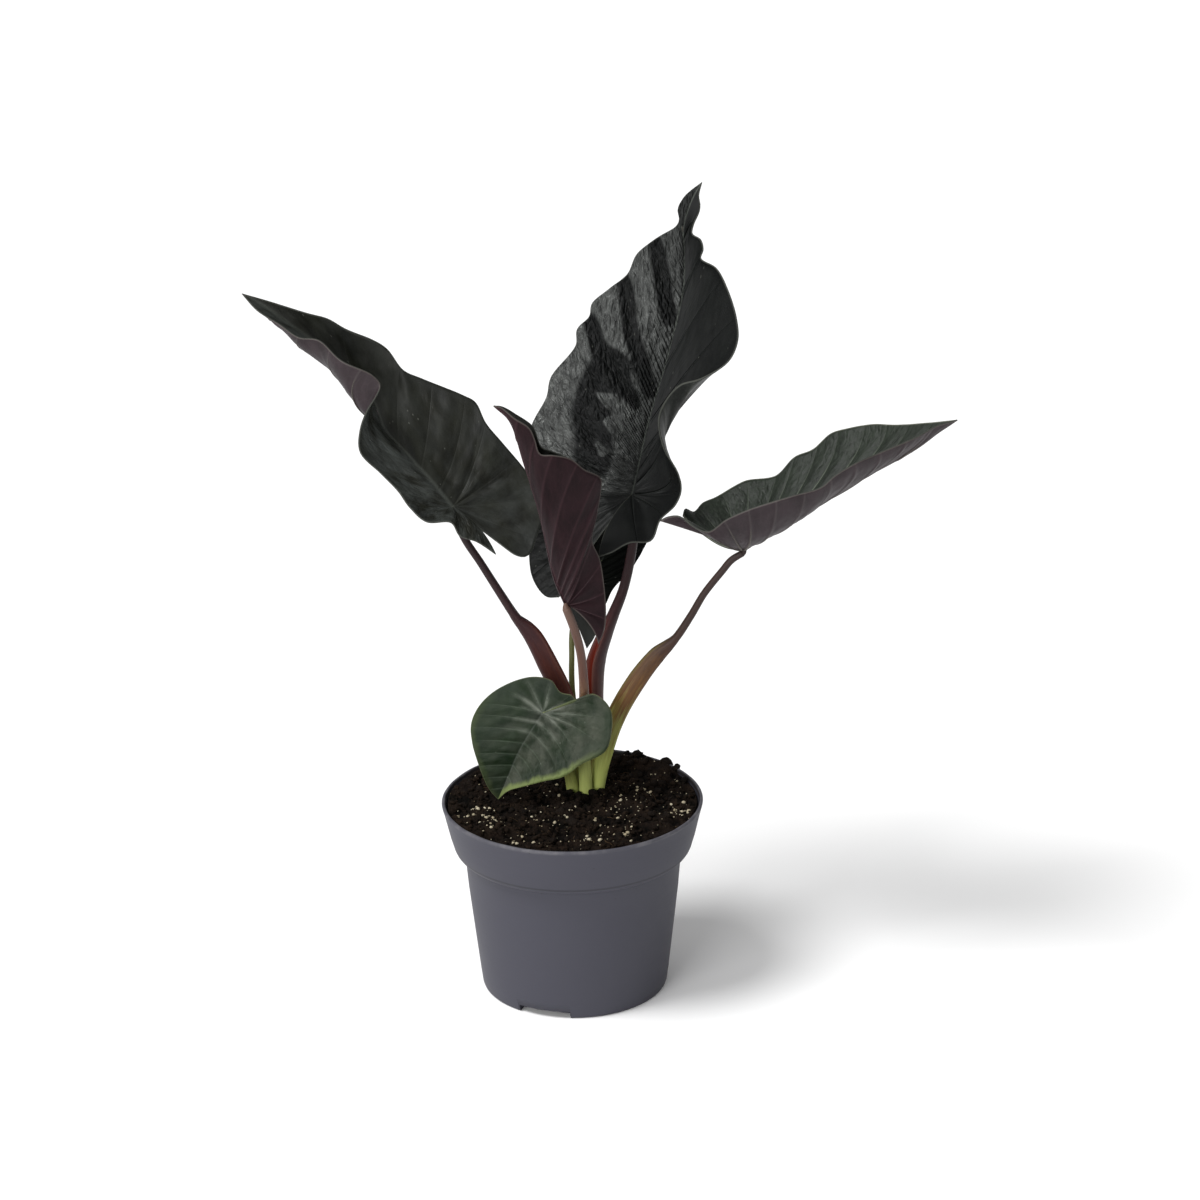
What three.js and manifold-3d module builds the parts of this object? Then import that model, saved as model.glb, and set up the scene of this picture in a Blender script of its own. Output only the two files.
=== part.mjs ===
import * as THREE from 'three';
import Module from 'manifold-3d';

const wasm = await Module();
wasm.setup();

// Potted velvet alocasia in a plastic nursery pot.
// Millimetres, +Z up, origin at the middle of the pot's underside.
// X runs to the right of the front view and Y runs away from it.

// Pot
const POT_HEIGHT = 91.4;
const RIM_RADIUS = 60;
const BASE_RADIUS = 42.7;
const POT_FLOOR = 1.6;
const COLLAR_Z = 67;
const POT_SEGMENTS = 48;
const FOOT_NOTCHES = 3;
const FOOT_NOTCH = { width: 24.6, height: 3.6, innerRadius: 36, firstAngle: -109.5 };

// Potting soil
const SOIL_TOP = 90.3;
const SOIL_CLEARANCE = 0.4;
const SOIL_WALL = [[40.4, POT_FLOOR + SOIL_CLEARANCE], [42.1, 8], [48.3, COLLAR_Z - 0.5],
  [49.7, COLLAR_Z + 1.4], [53.1, COLLAR_Z + 3.8], [56.1, 82], [56.7, 86], [57.2, 88]];
const SOIL_RIM_RADIUS = 57.7;
const SOIL_RINGS = 9;
const SOIL_SEGMENTS = 44;
const SOIL_CRUMBS = 60;
const CRUMB = { rise: 1.2, spread: 6, turn: 7.3 };
const GOLDEN_ANGLE = Math.PI * (3 - Math.sqrt(5));

// Clearance between pieces that stand against each other
const SEAT_GAP = 0.3;

// Corm and the ring of petiole bases round the plant's axis
const PLANT_AXIS = [6, 17.5];
const BASE_RING_RADIUS = 6.9;
const CORM = { top: 79.5, height: 20, radius: 10.2 };
const CORM_SIDES = 20;
const PETIOLE_FOOT = CORM.top + SEAT_GAP;
const PETIOLE_UPRIGHT = 12;
const SHAFT = { radius: 7.4, height: 30, sink: 3 };

// Blades
const BLADE_THICKNESS = 0.7;
const FRONT_ROWS = 16;
const LOBE_ROWS = 8;
const HALF_COLUMNS = 5;
const QUILT_ROWS = 6;
const EDGE_DIVISIONS = 12;

// Petioles
const PETIOLE_SIDES = 10;
const PETIOLE_STEPS = 15;
const PETIOLE_TOP_TAPER = 0.9;

const plasticGrey = { color: 0x565660, roughness: 0.55 };
const soilBrown = { color: 0x2a1d16, roughness: 0.95 };
const cormBrown = { color: 0x6b5a3c, roughness: 0.8 };
const bladeDark = { color: 0x222b26, roughness: 0.42 };
const bladeOlive = { color: 0x2b3029, roughness: 0.5 };
const bladePurple = { color: 0x4a2f38, roughness: 0.55 };
const bladeGreen = { color: 0x36513c, roughness: 0.5 };
const stalkPurple = { color: 0x5a3a40, roughness: 0.5 };
const stalkPink = { color: 0x8a6052, roughness: 0.5 };
const stalkGreen = { color: 0x8f9a58, roughness: 0.5 };

const group = new THREE.Group();

function addNode(name, geometry, finish) {
  const material = new THREE.MeshStandardMaterial({
    color: finish.color,
    roughness: finish.roughness,
    metalness: 0,
  });
  const mesh = new THREE.Mesh(geometry, material);
  mesh.name = name;
  group.add(mesh);
}

function toSolid(geometry) {
  const vertProperties = new Float32Array(geometry.getAttribute('position').array);
  const triVerts = new Uint32Array(geometry.index.array);
  const solid = new wasm.Mesh({ numProp: 3, vertProperties, triVerts });
  solid.merge();
  return new wasm.Manifold(solid);
}

function toGeometry(solid) {
  const out = solid.getMesh();
  const geometry = new THREE.BufferGeometry();
  geometry.setAttribute('position', new THREE.BufferAttribute(out.vertProperties, 3));
  geometry.setIndex(new THREE.BufferAttribute(out.triVerts, 1));
  return geometry;
}

function indexedGeometry(points, triangles) {
  const geometry = new THREE.BufferGeometry();
  const flat = points.flatMap((point) => [point.x, point.y, point.z]);
  geometry.setAttribute('position', new THREE.Float32BufferAttribute(flat, 3));
  geometry.setIndex(triangles.flat());
  return geometry;
}

// Vertices that share a place become one, and triangles with no area go
function weld(geometry) {
  const position = geometry.getAttribute('position');
  const seen = new Map();
  const points = [];
  const newIndex = [];
  for (let i = 0; i < position.count; i += 1) {
    const point = new THREE.Vector3().fromBufferAttribute(position, i);
    const key = point.toArray().map((value) => Math.round(value * 1000)).join();
    if (!seen.has(key)) {
      seen.set(key, points.length);
      points.push(point);
    }
    newIndex.push(seen.get(key));
  }
  const triangles = [];
  for (let i = 0; i < geometry.index.count; i += 3) {
    const [a, b, c] = [0, 1, 2].map((corner) => newIndex[geometry.index.getX(i + corner)]);
    if (a !== b && b !== c && c !== a) triangles.push([a, b, c]);
  }
  return indexedGeometry(points, triangles);
}

function smoothCurve(points) {
  return new THREE.CatmullRomCurve3(points, false, 'centripetal');
}

// Eased values between the two keys [at, value, value, ...] that lie round `at`
function blendKeys(keys, at) {
  let index = 0;
  while (index < keys.length - 2 && keys[index + 1][0] < at) index += 1;
  const [from, to] = [keys[index], keys[index + 1]];
  const share = THREE.MathUtils.smoothstep(at, from[0], to[0]);
  return from.slice(1).map((value, i) => THREE.MathUtils.lerp(value, to[i + 1], share));
}

// Pot: a spun wall with a stepped collar and a beaded rim, notched round the foot
function potGeometry() {
  const outer = [
    [BASE_RADIUS - 1.4, 0], [BASE_RADIUS - 0.2, 0.5], [BASE_RADIUS + 0.3, 1.7], [43.8, 8],
    [46.2, 29], [48.5, 49.5], [50, COLLAR_Z - 0.3], [51.5, COLLAR_Z], [53.6, COLLAR_Z + 1.2],
    [54.9, COLLAR_Z + 3.4], [56.5, 76], [57.9, 82], [58.6, 86.5], [59.7, 88.2], [RIM_RADIUS, 89.4],
    [RIM_RADIUS, 90.6], [RIM_RADIUS - 0.5, POT_HEIGHT],
  ];
  const inner = [
    [RIM_RADIUS - 1.5, POT_HEIGHT], [58.1, 88.6], [57.2, 86], [56.6, 82], [53.7, COLLAR_Z + 3.6],
    [50.3, COLLAR_Z + 1.4], [48.8, COLLAR_Z - 0.5], [42.6, 8], [41.7, POT_FLOOR + 1],
    [40.8, POT_FLOOR],
  ];
  const profile = [[0, 0], ...outer, ...inner, [0, POT_FLOOR]];
  const points = profile.map(([radius, z]) => new THREE.Vector2(radius, z));
  const spun = new THREE.LatheGeometry(points, POT_SEGMENTS);
  spun.rotateX(Math.PI / 2);
  let pot = toSolid(weld(spun));
  const depth = BASE_RADIUS + 4 - FOOT_NOTCH.innerRadius;
  for (let notch = 0; notch < FOOT_NOTCHES; notch += 1) {
    const angle = FOOT_NOTCH.firstAngle + (notch * 360) / FOOT_NOTCHES;
    const cutter = new THREE.BoxGeometry(depth, FOOT_NOTCH.width, 2 * FOOT_NOTCH.height);
    cutter.translate(FOOT_NOTCH.innerRadius + depth / 2, 0, 0);
    cutter.rotateZ(THREE.MathUtils.degToRad(angle));
    pot = pot.subtract(toSolid(weld(cutter)));
  }
  return toGeometry(pot);
}

// Soil surface: crumbs laid out on a spiral, lumps at the back and a rise under the low leaf's tip
function soilHeight(x, y) {
  const lump = (cx, cy, height, spread) => height
    * Math.exp(-((x - cx) ** 2 + (y - cy) ** 2) / spread ** 2);
  let height = SOIL_TOP;
  for (let crumb = 1; crumb <= SOIL_CRUMBS; crumb += 1) {
    const radius = SOIL_RIM_RADIUS * Math.sqrt(crumb / SOIL_CRUMBS);
    const angle = crumb * GOLDEN_ANGLE;
    const rise = CRUMB.rise * Math.sin(CRUMB.turn * crumb);
    height += lump(radius * Math.cos(angle), radius * Math.sin(angle), rise, CRUMB.spread);
  }
  return height + lump(31, 45, 2.6, 8) + lump(43, 37, 2.6, 5) + lump(8, 48, 1.6, 9)
    - lump(-34, 4, 0.4, 9);
}

function soilGeometry(hole) {
  const points = [new THREE.Vector3(0, 0, SOIL_WALL[0][1])];
  const rings = SOIL_WALL.map(([radius, z]) => ({ radius, height: () => z }));
  for (let ring = SOIL_RINGS; ring > 0; ring -= 1) {
    rings.push({ radius: (SOIL_RIM_RADIUS * ring) / SOIL_RINGS, height: soilHeight });
  }
  for (const { radius, height } of rings) {
    for (let i = 0; i < SOIL_SEGMENTS; i += 1) {
      const angle = (2 * Math.PI * i) / SOIL_SEGMENTS;
      const [x, y] = [radius * Math.cos(angle), radius * Math.sin(angle)];
      points.push(new THREE.Vector3(x, y, height(x, y)));
    }
  }
  points.push(new THREE.Vector3(0, 0, soilHeight(0, 0)));
  const at = (ring, i) => 1 + ring * SOIL_SEGMENTS + (i % SOIL_SEGMENTS);
  const triangles = [];
  for (let i = 0; i < SOIL_SEGMENTS; i += 1) {
    triangles.push([0, at(0, i + 1), at(0, i)]);
    for (let ring = 0; ring < rings.length - 1; ring += 1) {
      triangles.push([at(ring, i), at(ring, i + 1), at(ring + 1, i + 1)]);
      triangles.push([at(ring, i), at(ring + 1, i + 1), at(ring + 1, i)]);
    }
    triangles.push([at(rings.length - 1, i), at(rings.length - 1, i + 1), points.length - 1]);
  }
  return toGeometry(toSolid(indexedGeometry(points, triangles)).subtract(hole));
}

// A stalk is swept along stations [x, y, z, half width, half depth]. The width lies in the
// plane through the plant's axis, where the sheath wings stand, and the depth lies across it.
function stalkGeometry(stations, grow = 0) {
  const path = smoothCurve(stations.map(([x, y, z]) => new THREE.Vector3(x, y, z)));
  const middle = stations[Math.floor(stations.length / 2)];
  const inward = new THREE.Vector3(PLANT_AXIS[0] - middle[0], PLANT_AXIS[1] - middle[1], 0);
  inward.add(new THREE.Vector3(0, 0, 1e-3)).normalize();
  const points = [];
  const rings = [];
  for (let step = 0; step <= PETIOLE_STEPS; step += 1) {
    const share = step / PETIOLE_STEPS;
    const centre = path.getPoint(share);
    if (step === 0) centre.z -= 2 * grow;
    const tangent = path.getTangent(share);
    const wide = inward.clone().addScaledVector(tangent, -inward.dot(tangent)).normalize();
    const deep = tangent.clone().cross(wide);
    const place = share * (stations.length - 1);
    const index = Math.min(Math.floor(place), stations.length - 2);
    const [halfWide, halfDeep] = [3, 4].map((column) => grow + THREE.MathUtils.lerp(
      stations[index][column],
      stations[index + 1][column],
      place - index,
    ));
    const ring = [];
    for (let side = 0; side < PETIOLE_SIDES; side += 1) {
      const angle = (2 * Math.PI * side) / PETIOLE_SIDES;
      ring.push(points.length);
      points.push(centre.clone()
        .addScaledVector(wide, halfWide * Math.cos(angle))
        .addScaledVector(deep, halfDeep * Math.sin(angle)));
    }
    rings.push(ring);
  }
  const triangles = [];
  const first = points.push(path.getPoint(0).setZ(points[0].z)) - 1;
  const last = points.push(path.getPoint(1)) - 1;
  for (let side = 0; side < PETIOLE_SIDES; side += 1) {
    const next = (side + 1) % PETIOLE_SIDES;
    triangles.push([first, rings[0][next], rings[0][side]]);
    triangles.push([last, rings[PETIOLE_STEPS][side], rings[PETIOLE_STEPS][next]]);
    for (let step = 0; step < PETIOLE_STEPS; step += 1) {
      const [low, high] = [rings[step], rings[step + 1]];
      triangles.push([low[side], low[next], high[next]]);
      triangles.push([low[side], high[next], high[side]]);
    }
  }
  return indexedGeometry(points, triangles);
}

// A leaf has its own frame: `along` from the petiole towards the tip, `out` to the right as
// seen on the upper face, and `lift` out of the upper face. Rib and edge stations are
// [along, out, lift] from the petiole. An edge runs from the tip to the end of the back lobe,
// and its `shoulder` is the station that the last vein before the lobe reaches. A half's
// `belly` keys [share of the rows, along, out, lift] push the middle of each vein row off the
// straight line between rib and edge, and its `quilt` is the rise of the skin between two
// veins. The more a leaf's veins `lean`, the nearer to the tip they meet the edge.
function leafFrame(leaf) {
  const origin = new THREE.Vector3(...leaf.attach);
  const along = new THREE.Vector3(...leaf.tip).sub(origin).normalize();
  const lift = new THREE.Vector3(...leaf.facing);
  lift.addScaledVector(along, -lift.dot(along)).normalize();
  const out = along.clone().cross(lift);
  return (local) => origin.clone()
    .addScaledVector(along, local.x)
    .addScaledVector(out, local.y)
    .addScaledVector(lift, local.z);
}

function edgePoint(half, row) {
  const curve = half.curve;
  const shoulderLength = half.lengths[half.shoulder * EDGE_DIVISIONS];
  const total = half.lengths[half.lengths.length - 1];
  const length = row <= FRONT_ROWS
    ? (shoulderLength * row) / FRONT_ROWS
    : shoulderLength + ((total - shoulderLength) * (row - FRONT_ROWS)) / LOBE_ROWS;
  return curve.getPointAt(length / total);
}

function prepareHalf(half) {
  const points = half.edge.map(([x, y, z]) => new THREE.Vector3(x, y, z));
  const curve = smoothCurve(points);
  curve.arcLengthDivisions = (points.length - 1) * EDGE_DIVISIONS;
  return { ...half, curve, lengths: curve.getLengths() };
}

// Place on a half blade in the leaf's frame: `row` counts vein rows from the tip to the back
// lobe's inner edge, and `v` runs from 0 on the midrib to 1 on the edge
function bladePoint(leaf, rib, half, row, v) {
  const rows = FRONT_ROWS + LOBE_ROWS;
  const front = Math.min(1, row / FRONT_ROWS);
  const root = rib.getPoint(((1 + leaf.lean) * front) / (1 + leaf.lean * front));
  const point = root.lerp(edgePoint(half, row), v);
  const [along, out, lift] = blendKeys(half.belly, row / rows);
  const middle = 4 * v * (1 - v);
  point.x += along * middle;
  point.y += out * middle;
  point.z += lift * middle;
  const between = row % 2 === 1 && row < rows ? 1 : 0;
  point.z += half.quilt * between * Math.min(1, row / QUILT_ROWS) * Math.sin(Math.PI * v);
  return point;
}

function bladeGeometry(leaf) {
  const rows = FRONT_ROWS + LOBE_ROWS;
  const toWorld = leafFrame(leaf);
  const rib = smoothCurve(leaf.rib.map(([x, y, z]) => new THREE.Vector3(x, y, z)));
  const points = [];
  const triangles = [];
  const halves = [[prepareHalf(leaf.right), 1], [prepareHalf(leaf.left), -1]];
  for (const [half, side] of halves) {
    const first = points.length;
    for (let row = 0; row <= rows; row += 1) {
      for (let column = 0; column <= HALF_COLUMNS; column += 1) {
        points.push(toWorld(bladePoint(leaf, rib, half, row, column / HALF_COLUMNS)));
      }
    }
    for (let row = 0; row < rows; row += 1) {
      for (let column = 0; column < HALF_COLUMNS; column += 1) {
        const a = first + row * (HALF_COLUMNS + 1) + column;
        const [b, c, d] = [a + HALF_COLUMNS + 1, a + HALF_COLUMNS + 2, a + 1];
        const pair = side > 0 ? [[a, b, d], [b, c, d]] : [[a, d, b], [b, d, c]];
        triangles.push(...pair);
      }
    }
  }
  return thicken(weld(indexedGeometry(points, triangles)));
}

// Top station of a stalk, just clear of the blade's lower face where the petiole joins it
function seatUnder(leaf, below) {
  const toWorld = leafFrame(leaf);
  const attach = toWorld(new THREE.Vector3());
  const downward = toWorld(new THREE.Vector3(0, 0, -1)).sub(attach);
  const radius = below[3] * PETIOLE_TOP_TAPER;
  const approach = attach.clone().sub(new THREE.Vector3(...below)).normalize();
  const lean = Math.sqrt(1 - approach.dot(downward) ** 2);
  attach.addScaledVector(downward, BLADE_THICKNESS / 2 + SEAT_GAP + radius * lean);
  return [...attach.toArray(), radius, radius];
}

// A sheet becomes a closed blade: the same triangles on both faces, walled round the edge
function thicken(sheet) {
  sheet.computeVertexNormals();
  const position = sheet.getAttribute('position');
  const normal = sheet.getAttribute('normal');
  const index = sheet.index.array;
  const [upper, lower] = [[], []];
  for (let i = 0; i < position.count; i += 1) {
    const point = new THREE.Vector3().fromBufferAttribute(position, i);
    const offset = new THREE.Vector3().fromBufferAttribute(normal, i)
      .multiplyScalar(BLADE_THICKNESS / 2);
    upper.push(point.clone().add(offset));
    lower.push(point.clone().sub(offset));
  }
  const count = position.count;
  const triangles = [];
  const edges = new Set();
  for (let i = 0; i < index.length; i += 3) {
    const [a, b, c] = [index[i], index[i + 1], index[i + 2]];
    triangles.push([a, b, c], [count + a, count + c, count + b]);
    edges.add(`${a},${b}`).add(`${b},${c}`).add(`${c},${a}`);
  }
  for (const edge of edges) {
    const [a, b] = edge.split(',').map(Number);
    if (!edges.has(`${b},${a}`)) {
      triangles.push([b, a, count + a], [b, count + a, count + b]);
    }
  }
  return indexedGeometry([...upper, ...lower], triangles);
}

// Leaves
const leaves = {
  tall: {
    attach: [29, 36, 226],
    tip: [63, 82, 360],
    facing: [-0.05, -0.95, 0.31],
    lean: 2.3,
    rib: [[145.5, -0.2, 0], [136, -3, 0], [124, -4, 0], [112, -1, -1], [97, 2, -2], [68, 2, -3],
      [35, 0, -2], [12, 0, 0], [0, 0, 0]],
    left: {
      quilt: 2,
      edge: [[145.5, -0.2, 0], [140.8, -4.2, 0], [137, -6.7, 0], [131.6, -8.2, 1], [127.4, -6.6, 0],
        [123.6, -7.2, 0], [116, -15, 0], [107, -22, -1], [98, -24, -2], [89, -31, -3],
        [81, -37, -3], [75, -37, -3], [68, -41, -2], [61, -40, -3], [44, -48, -5], [35, -48, -6],
        [20, -52, -8], [5, -50, -9], [-13, -45, -8], [-33, -41, -6], [-47, -36, -3], [-54, -28, 0],
        [-53, -22, 2]],
      shoulder: 17,
      belly: [[0, 0, 0, 0], [0.2, 0, 0, 1], [0.6, -5, 0, 3], [0.8, 0, 0, 2], [1, 0, -1, 0]],
    },
    right: {
      quilt: 0.3,
      edge: [[145.5, -0.2, 0], [139.2, -0.2, 1], [135, 1.4, 1], [131.9, 1.6, 1], [125.5, 0.3, 1],
        [121.2, 0.8, 3], [119.6, 5, 5], [115.5, 7.2, 7], [111, 7.2, 9], [108, 15, 14],
        [100, 22, 20], [88, 29, 25], [78, 32, 27], [68, 30, 27], [58, 20, 24], [53, 11, 22],
        [44, 6, 20], [36, 5, 20], [24, 10, 22], [14, 19, 24], [7, 22, 24], [0, 21, 26],
        [-8, 16, 30], [-18, 14, 34], [-21, 5, 36], [-27, -2, 38], [-30, -7, 38]],
      shoulder: 18,
      belly: [[0, 0, 0, 0], [0.12, 4, 0, -1], [0.25, 11, 2, -4], [0.38, 7.5, 2, -6.2],
        [0.46, 5.7, -1.2, -6.9], [0.54, 0.3, 3.9, -5.4], [0.67, -2.8, 11.1, -4.9], [0.8, 0, 4, -2],
        [1, 0, -3, 0]],
    },
  },
  left: {
    attach: [-52, 14, 229],
    tip: [-144, 46, 321],
    facing: [0.3, -0.7, 0.65],
    lean: 0.8,
    rib: [[134.6, -1.2, 0], [125, 2, 0], [110, 6, -1], [96, 9, -2], [77, 9, -3], [59, 10, -4],
      [46, 4, -3], [33, 3, -2], [15, 2, -1], [0, 0, 0]],
    right: {
      quilt: 0.9,
      edge: [[134.6, -1.2, 0], [125, 4, 2], [108, 13, 5], [100, 18, 6], [91, 21, 6], [79, 26, 8],
        [72, 28, 8], [60, 27, 7], [51, 31, 7], [33, 39, 9], [27, 41, 9], [17, 38, 8], [6, 37.5, 7],
        [-8, 37, 6], [-22, 34, 7], [-31, 26, 8], [-36.5, 14.5, 9], [-39, 9, 9], [-39, 4.5, 9],
        [-35.5, 1.5, 9], [-29, 0.6, 8]],
      shoulder: 11,
      belly: [[0, 0, 0, 0], [0.3, 2, 0, -4], [0.6, -4, 0, -4], [0.8, 0, 0, -2], [1, 0, 0.4, -1]],
    },
    left: {
      quilt: 0,
      edge: [[134.6, -1.2, 0], [124, -2.5, 2], [113, -1, 5], [102, -1, 10], [95, 3, 14], [81, 2, 18],
        [67, 7, 20], [61, 7, 19], [59, 3, 17], [57, -4, 13], [53, -11, 9], [46, -17, 6],
        [33, -16, 4], [22, -16, 4], [13, -18, 5], [3, -18, 7], [-5, -11, 10], [-12, -12, 9],
        [-19, -8, 9], [-29, -5.5, 9]],
      shoulder: 13,
      belly: [[0, 0, 0, 0], [0.2, 3, -4, -2], [0.35, 5, -6, -2], [0.5, 3, -2, -2],
        [0.7, 0, 0, -1], [1, 0, 2, 1.5]],
    },
  },
  front: {
    attach: [-1, -8, 190],
    tip: [-31, -36, 293],
    facing: [0.25, 0.9, 0.2],
    lean: 2,
    rib: [[111, 0, 0], [103, -4.8, 0], [80, -4.9, -1], [50, -3, 0], [14, 1, 0], [0, 0, 0]],
    left: {
      quilt: 0.4,
      edge: [[111, 0, 0], [110, -3, 0], [104, -8, -1], [98, -13, -1], [92, -14, -2], [86, -15, -4],
        [84, -20, -3], [79, -26, 0], [72, -30, 1], [64, -34, 5], [57, -32, 6], [45, -27, 4],
        [32, -21, 3], [20, -21, 4], [5, -19.5, 1], [-7, -17, -1], [-16, -13.6, -2], [-21.5, -9.6, -4]],
      shoulder: 12,
      belly: [[0, 0, 0, 0], [0.3, 5, 0, -5], [0.6, -1, 0, -6], [0.8, 0, 0, -2], [1, 0, -3, 0]],
    },
    right: {
      quilt: 0.4,
      edge: [[111, 0, 0], [109, -2, 2], [102, -5, 6], [92, -10, 9], [81, -11, 8], [77, -14, 10],
        [70, -18, 14], [59, -21, 19], [46, -20, 21], [31, -16, 20], [16, -11, 17], [2, -9, 13],
        [-13, -8, 9], [-22, -6, 4], [-26.3, -1.6, 0]],
      shoulder: 10,
      belly: [[0, 0, 0, 0], [0.3, 7, 2, 2], [0.6, 0, 5, 4], [0.8, 0, 3, 2], [1, 0, 0, 1]],
    },
  },
  right: {
    attach: [78, 6, 210],
    tip: [172, 2, 270],
    facing: [-0.45, 0, 0.9],
    lean: 2.6,
    rib: [[113.5, 0.6, 0.4], [104, 0, 0], [92, 1, -1], [77, 0, -1], [61, 0, 0], [43, -1, 0],
      [29, -1, 0], [15, -1, 0], [0, 0, 0]],
    right: {
      quilt: 0,
      edge: [[113.5, 0.6, 0.4], [105, 4, 4], [96, 9, 6], [78, 16, 11], [69, 21, 14], [58, 24, 15],
        [50, 25, 14], [38, 27, 18], [18, 27, 23], [7, 26, 24], [-4, 21, 22], [-9, 18, 27],
        [-12, 15, 33], [-17, 13, 35], [-21, 12, 35]],
      shoulder: 8,
      belly: [[0, 0, 0, 0], [0.3, 9, 2, -3], [0.6, 0, 3, -5], [0.8, 0, 2, -2], [1, 1.5, 2, 0]],
    },
    left: {
      quilt: 0.9,
      edge: [[113.5, 0.6, 0.4], [103, -5, 3.4], [88, -15, 7.5], [77, -23, 11.5], [66, -27, 14.5],
        [58, -30, 15.5], [47, -30, 13.5], [38, -31, 14.5], [26, -31, 11.5], [13, -32, 16.5],
        [6, -31, 17.4], [-2, -28, 18.4], [-8, -25, 20.2], [-13, -21, 20], [-15, -19, 24],
        [-17, -15, 23]],
      shoulder: 8,
      belly: [[0, 0, 0, 0], [0.3, 9, 0, -3], [0.6, 0, 0, -3], [0.8, 0, 0, -2], [1, 0, 7, -3]],
    },
  },
  low: {
    attach: [-13, 0, 134],
    tip: [-34, 3, 90],
    facing: [0.1, -0.95, 0.3],
    lean: 0.6,
    rib: [[49, 0, 0], [36, 1, 2], [20, 2, 3], [0, 0, 0]],
    right: {
      quilt: 0.6,
      edge: [[49, 0, 0], [46, 6, 0], [38, 14, 1], [27, 23, 1], [19, 27, 0], [8, 27, 0],
        [-3, 22, -1], [-13, 12, -2], [-16, 3, -1], [-13, -3, 0], [-14, -8, 0]],
      shoulder: 5,
      belly: [[0, 0, 0, 0], [0.6, -2, 0, 2], [1, 0, 0, 0]],
    },
    left: {
      quilt: 0.6,
      edge: [[49, 0, 0], [41, -2, 4], [35, -7, 6], [28, -14, 7], [22, -21, 7], [13, -26, 6],
        [2, -33, 6], [-9, -31, 4], [-16, -27, 2], [-19, -21, 1], [-19, -16, 1], [-13, -12, 0],
        [-14, -8, 0]],
      shoulder: 5,
      belly: [[0, 0, 0, 0], [0.6, -2, 0, -2], [1, 0, 0, 0]],
    },
  },
  back: {
    attach: [9, 40, 181],
    tip: [33, 60, 229],
    facing: [0.1, -0.9, 0.4],
    lean: 1,
    rib: [[58, 0, 0], [41, 1, 0], [18, 1, 0], [0, 0, 0]],
    left: {
      quilt: 0.5,
      edge: [[58, 0, 0], [46, -10, 0], [28, -15, 0], [11, -14, 0], [-4, -8, 1], [-10, -1, 2]],
      shoulder: 3,
      belly: [[0, 0, 0, 0], [0.6, -2, 0, 1], [1, 0, 0, 0]],
    },
    right: {
      quilt: 0.5,
      edge: [[58, 0, 0], [49, 13, 0], [37, 16.6, 0], [29, 16.4, 0], [20, 15.8, 0], [13, 14.6, 1],
        [6.8, 12.2, 1], [2, 10.8, 1], [-3, 10.7, 1], [-8, 10.5, 2]],
      shoulder: 4,
      belly: [[0, 0, 0, 0], [0.6, -2, 0, 1], [1, 0, 0, 0]],
    },
  },
};

// Petiole bases stand round the plant's axis, `angle` degrees from the right
function baseStations(angle) {
  const radians = THREE.MathUtils.degToRad(angle);
  const x = PLANT_AXIS[0] + BASE_RING_RADIUS * Math.cos(radians);
  const y = PLANT_AXIS[1] + BASE_RING_RADIUS * Math.sin(radians);
  return [[x, y, PETIOLE_FOOT, 3, 3], [x, y, PETIOLE_FOOT + PETIOLE_UPRIGHT, 3.1, 3.1]];
}

// Petioles: stations [x, y, z, half width, half depth] from the base up to the last one below
// the blade. The top is worked out so that it lies under the blade's attachment.
const petioles = {
  tall: [...baseStations(30), [11.8, 25, 112, 3.8, 3.2], [11, 26, 134, 4.9, 3.4],
    [12, 28, 148, 5.6, 3.4], [16, 30, 160, 4.5, 3], [20.3, 32, 170, 3.1, 2.5],
    [24.5, 34.5, 180, 2.3, 2.3], [28.3, 36.5, 196, 2.2, 2.2], [30, 38.6, 210, 2.1, 2.1]],
  left: [...baseStations(152), [-1.2, 21, 112, 4.2, 3], [-3.4, 21, 132, 5, 3],
    [-10.6, 20.5, 150, 4.9, 2.8], [-16.6, 20, 163, 4.4, 2.5], [-20, 19.7, 168, 3.8, 2.3],
    [-24, 19.3, 172.5, 2.4, 2.1], [-26.1, 19, 176, 2.1, 2.1], [-33.4, 18, 189, 1.9, 1.9],
    [-40, 17, 201, 1.8, 1.8], [-47, 16.6, 213, 1.8, 1.8]],
  front: [...baseStations(272), [5.6, 8, 112, 2.9, 2.8], [6, 4, 134, 2.4, 2.4],
    [5.9, 0, 150, 2.1, 2.1], [4.8, -4, 165, 2, 2], [2.1, -8, 178, 2.1, 2]],
  right: [...baseStations(332), [14.8, 13.5, 108, 4.1, 3.2], [20.2, 13, 126, 4.7, 3.2],
    [30.5, 12, 145, 4.6, 3], [39.3, 11, 157, 4, 2.6], [44.4, 10.4, 162, 2.9, 2.3],
    [48.2, 10, 166, 2, 2], [55, 9, 177, 1.8, 1.8], [61, 8, 188, 1.7, 1.7],
    [69, 7, 199, 1.7, 1.7], [73.3, 6.8, 204.4, 1.7, 1.7]],
  low: [...baseStations(212), [-3.5, 11, 108, 2.8, 2.4], [-8, 7, 120, 2, 2]],
  back: [...baseStations(92), [2.5, 26, 112, 2, 2], [0.5, 27.5, 134, 1.4, 1.4],
    [0.5, 30, 148, 1.3, 1.3], [1.5, 34, 164, 1.3, 1.3]],
};

const petioleFinish = {
  tall: stalkPurple,
  left: stalkPurple,
  front: stalkPink,
  right: stalkPink,
  low: stalkGreen,
  back: stalkGreen,
};

const bladeFinish = {
  tall: bladeDark,
  left: bladeOlive,
  front: bladePurple,
  right: bladeOlive,
  low: bladeGreen,
  back: bladeDark,
};

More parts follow.
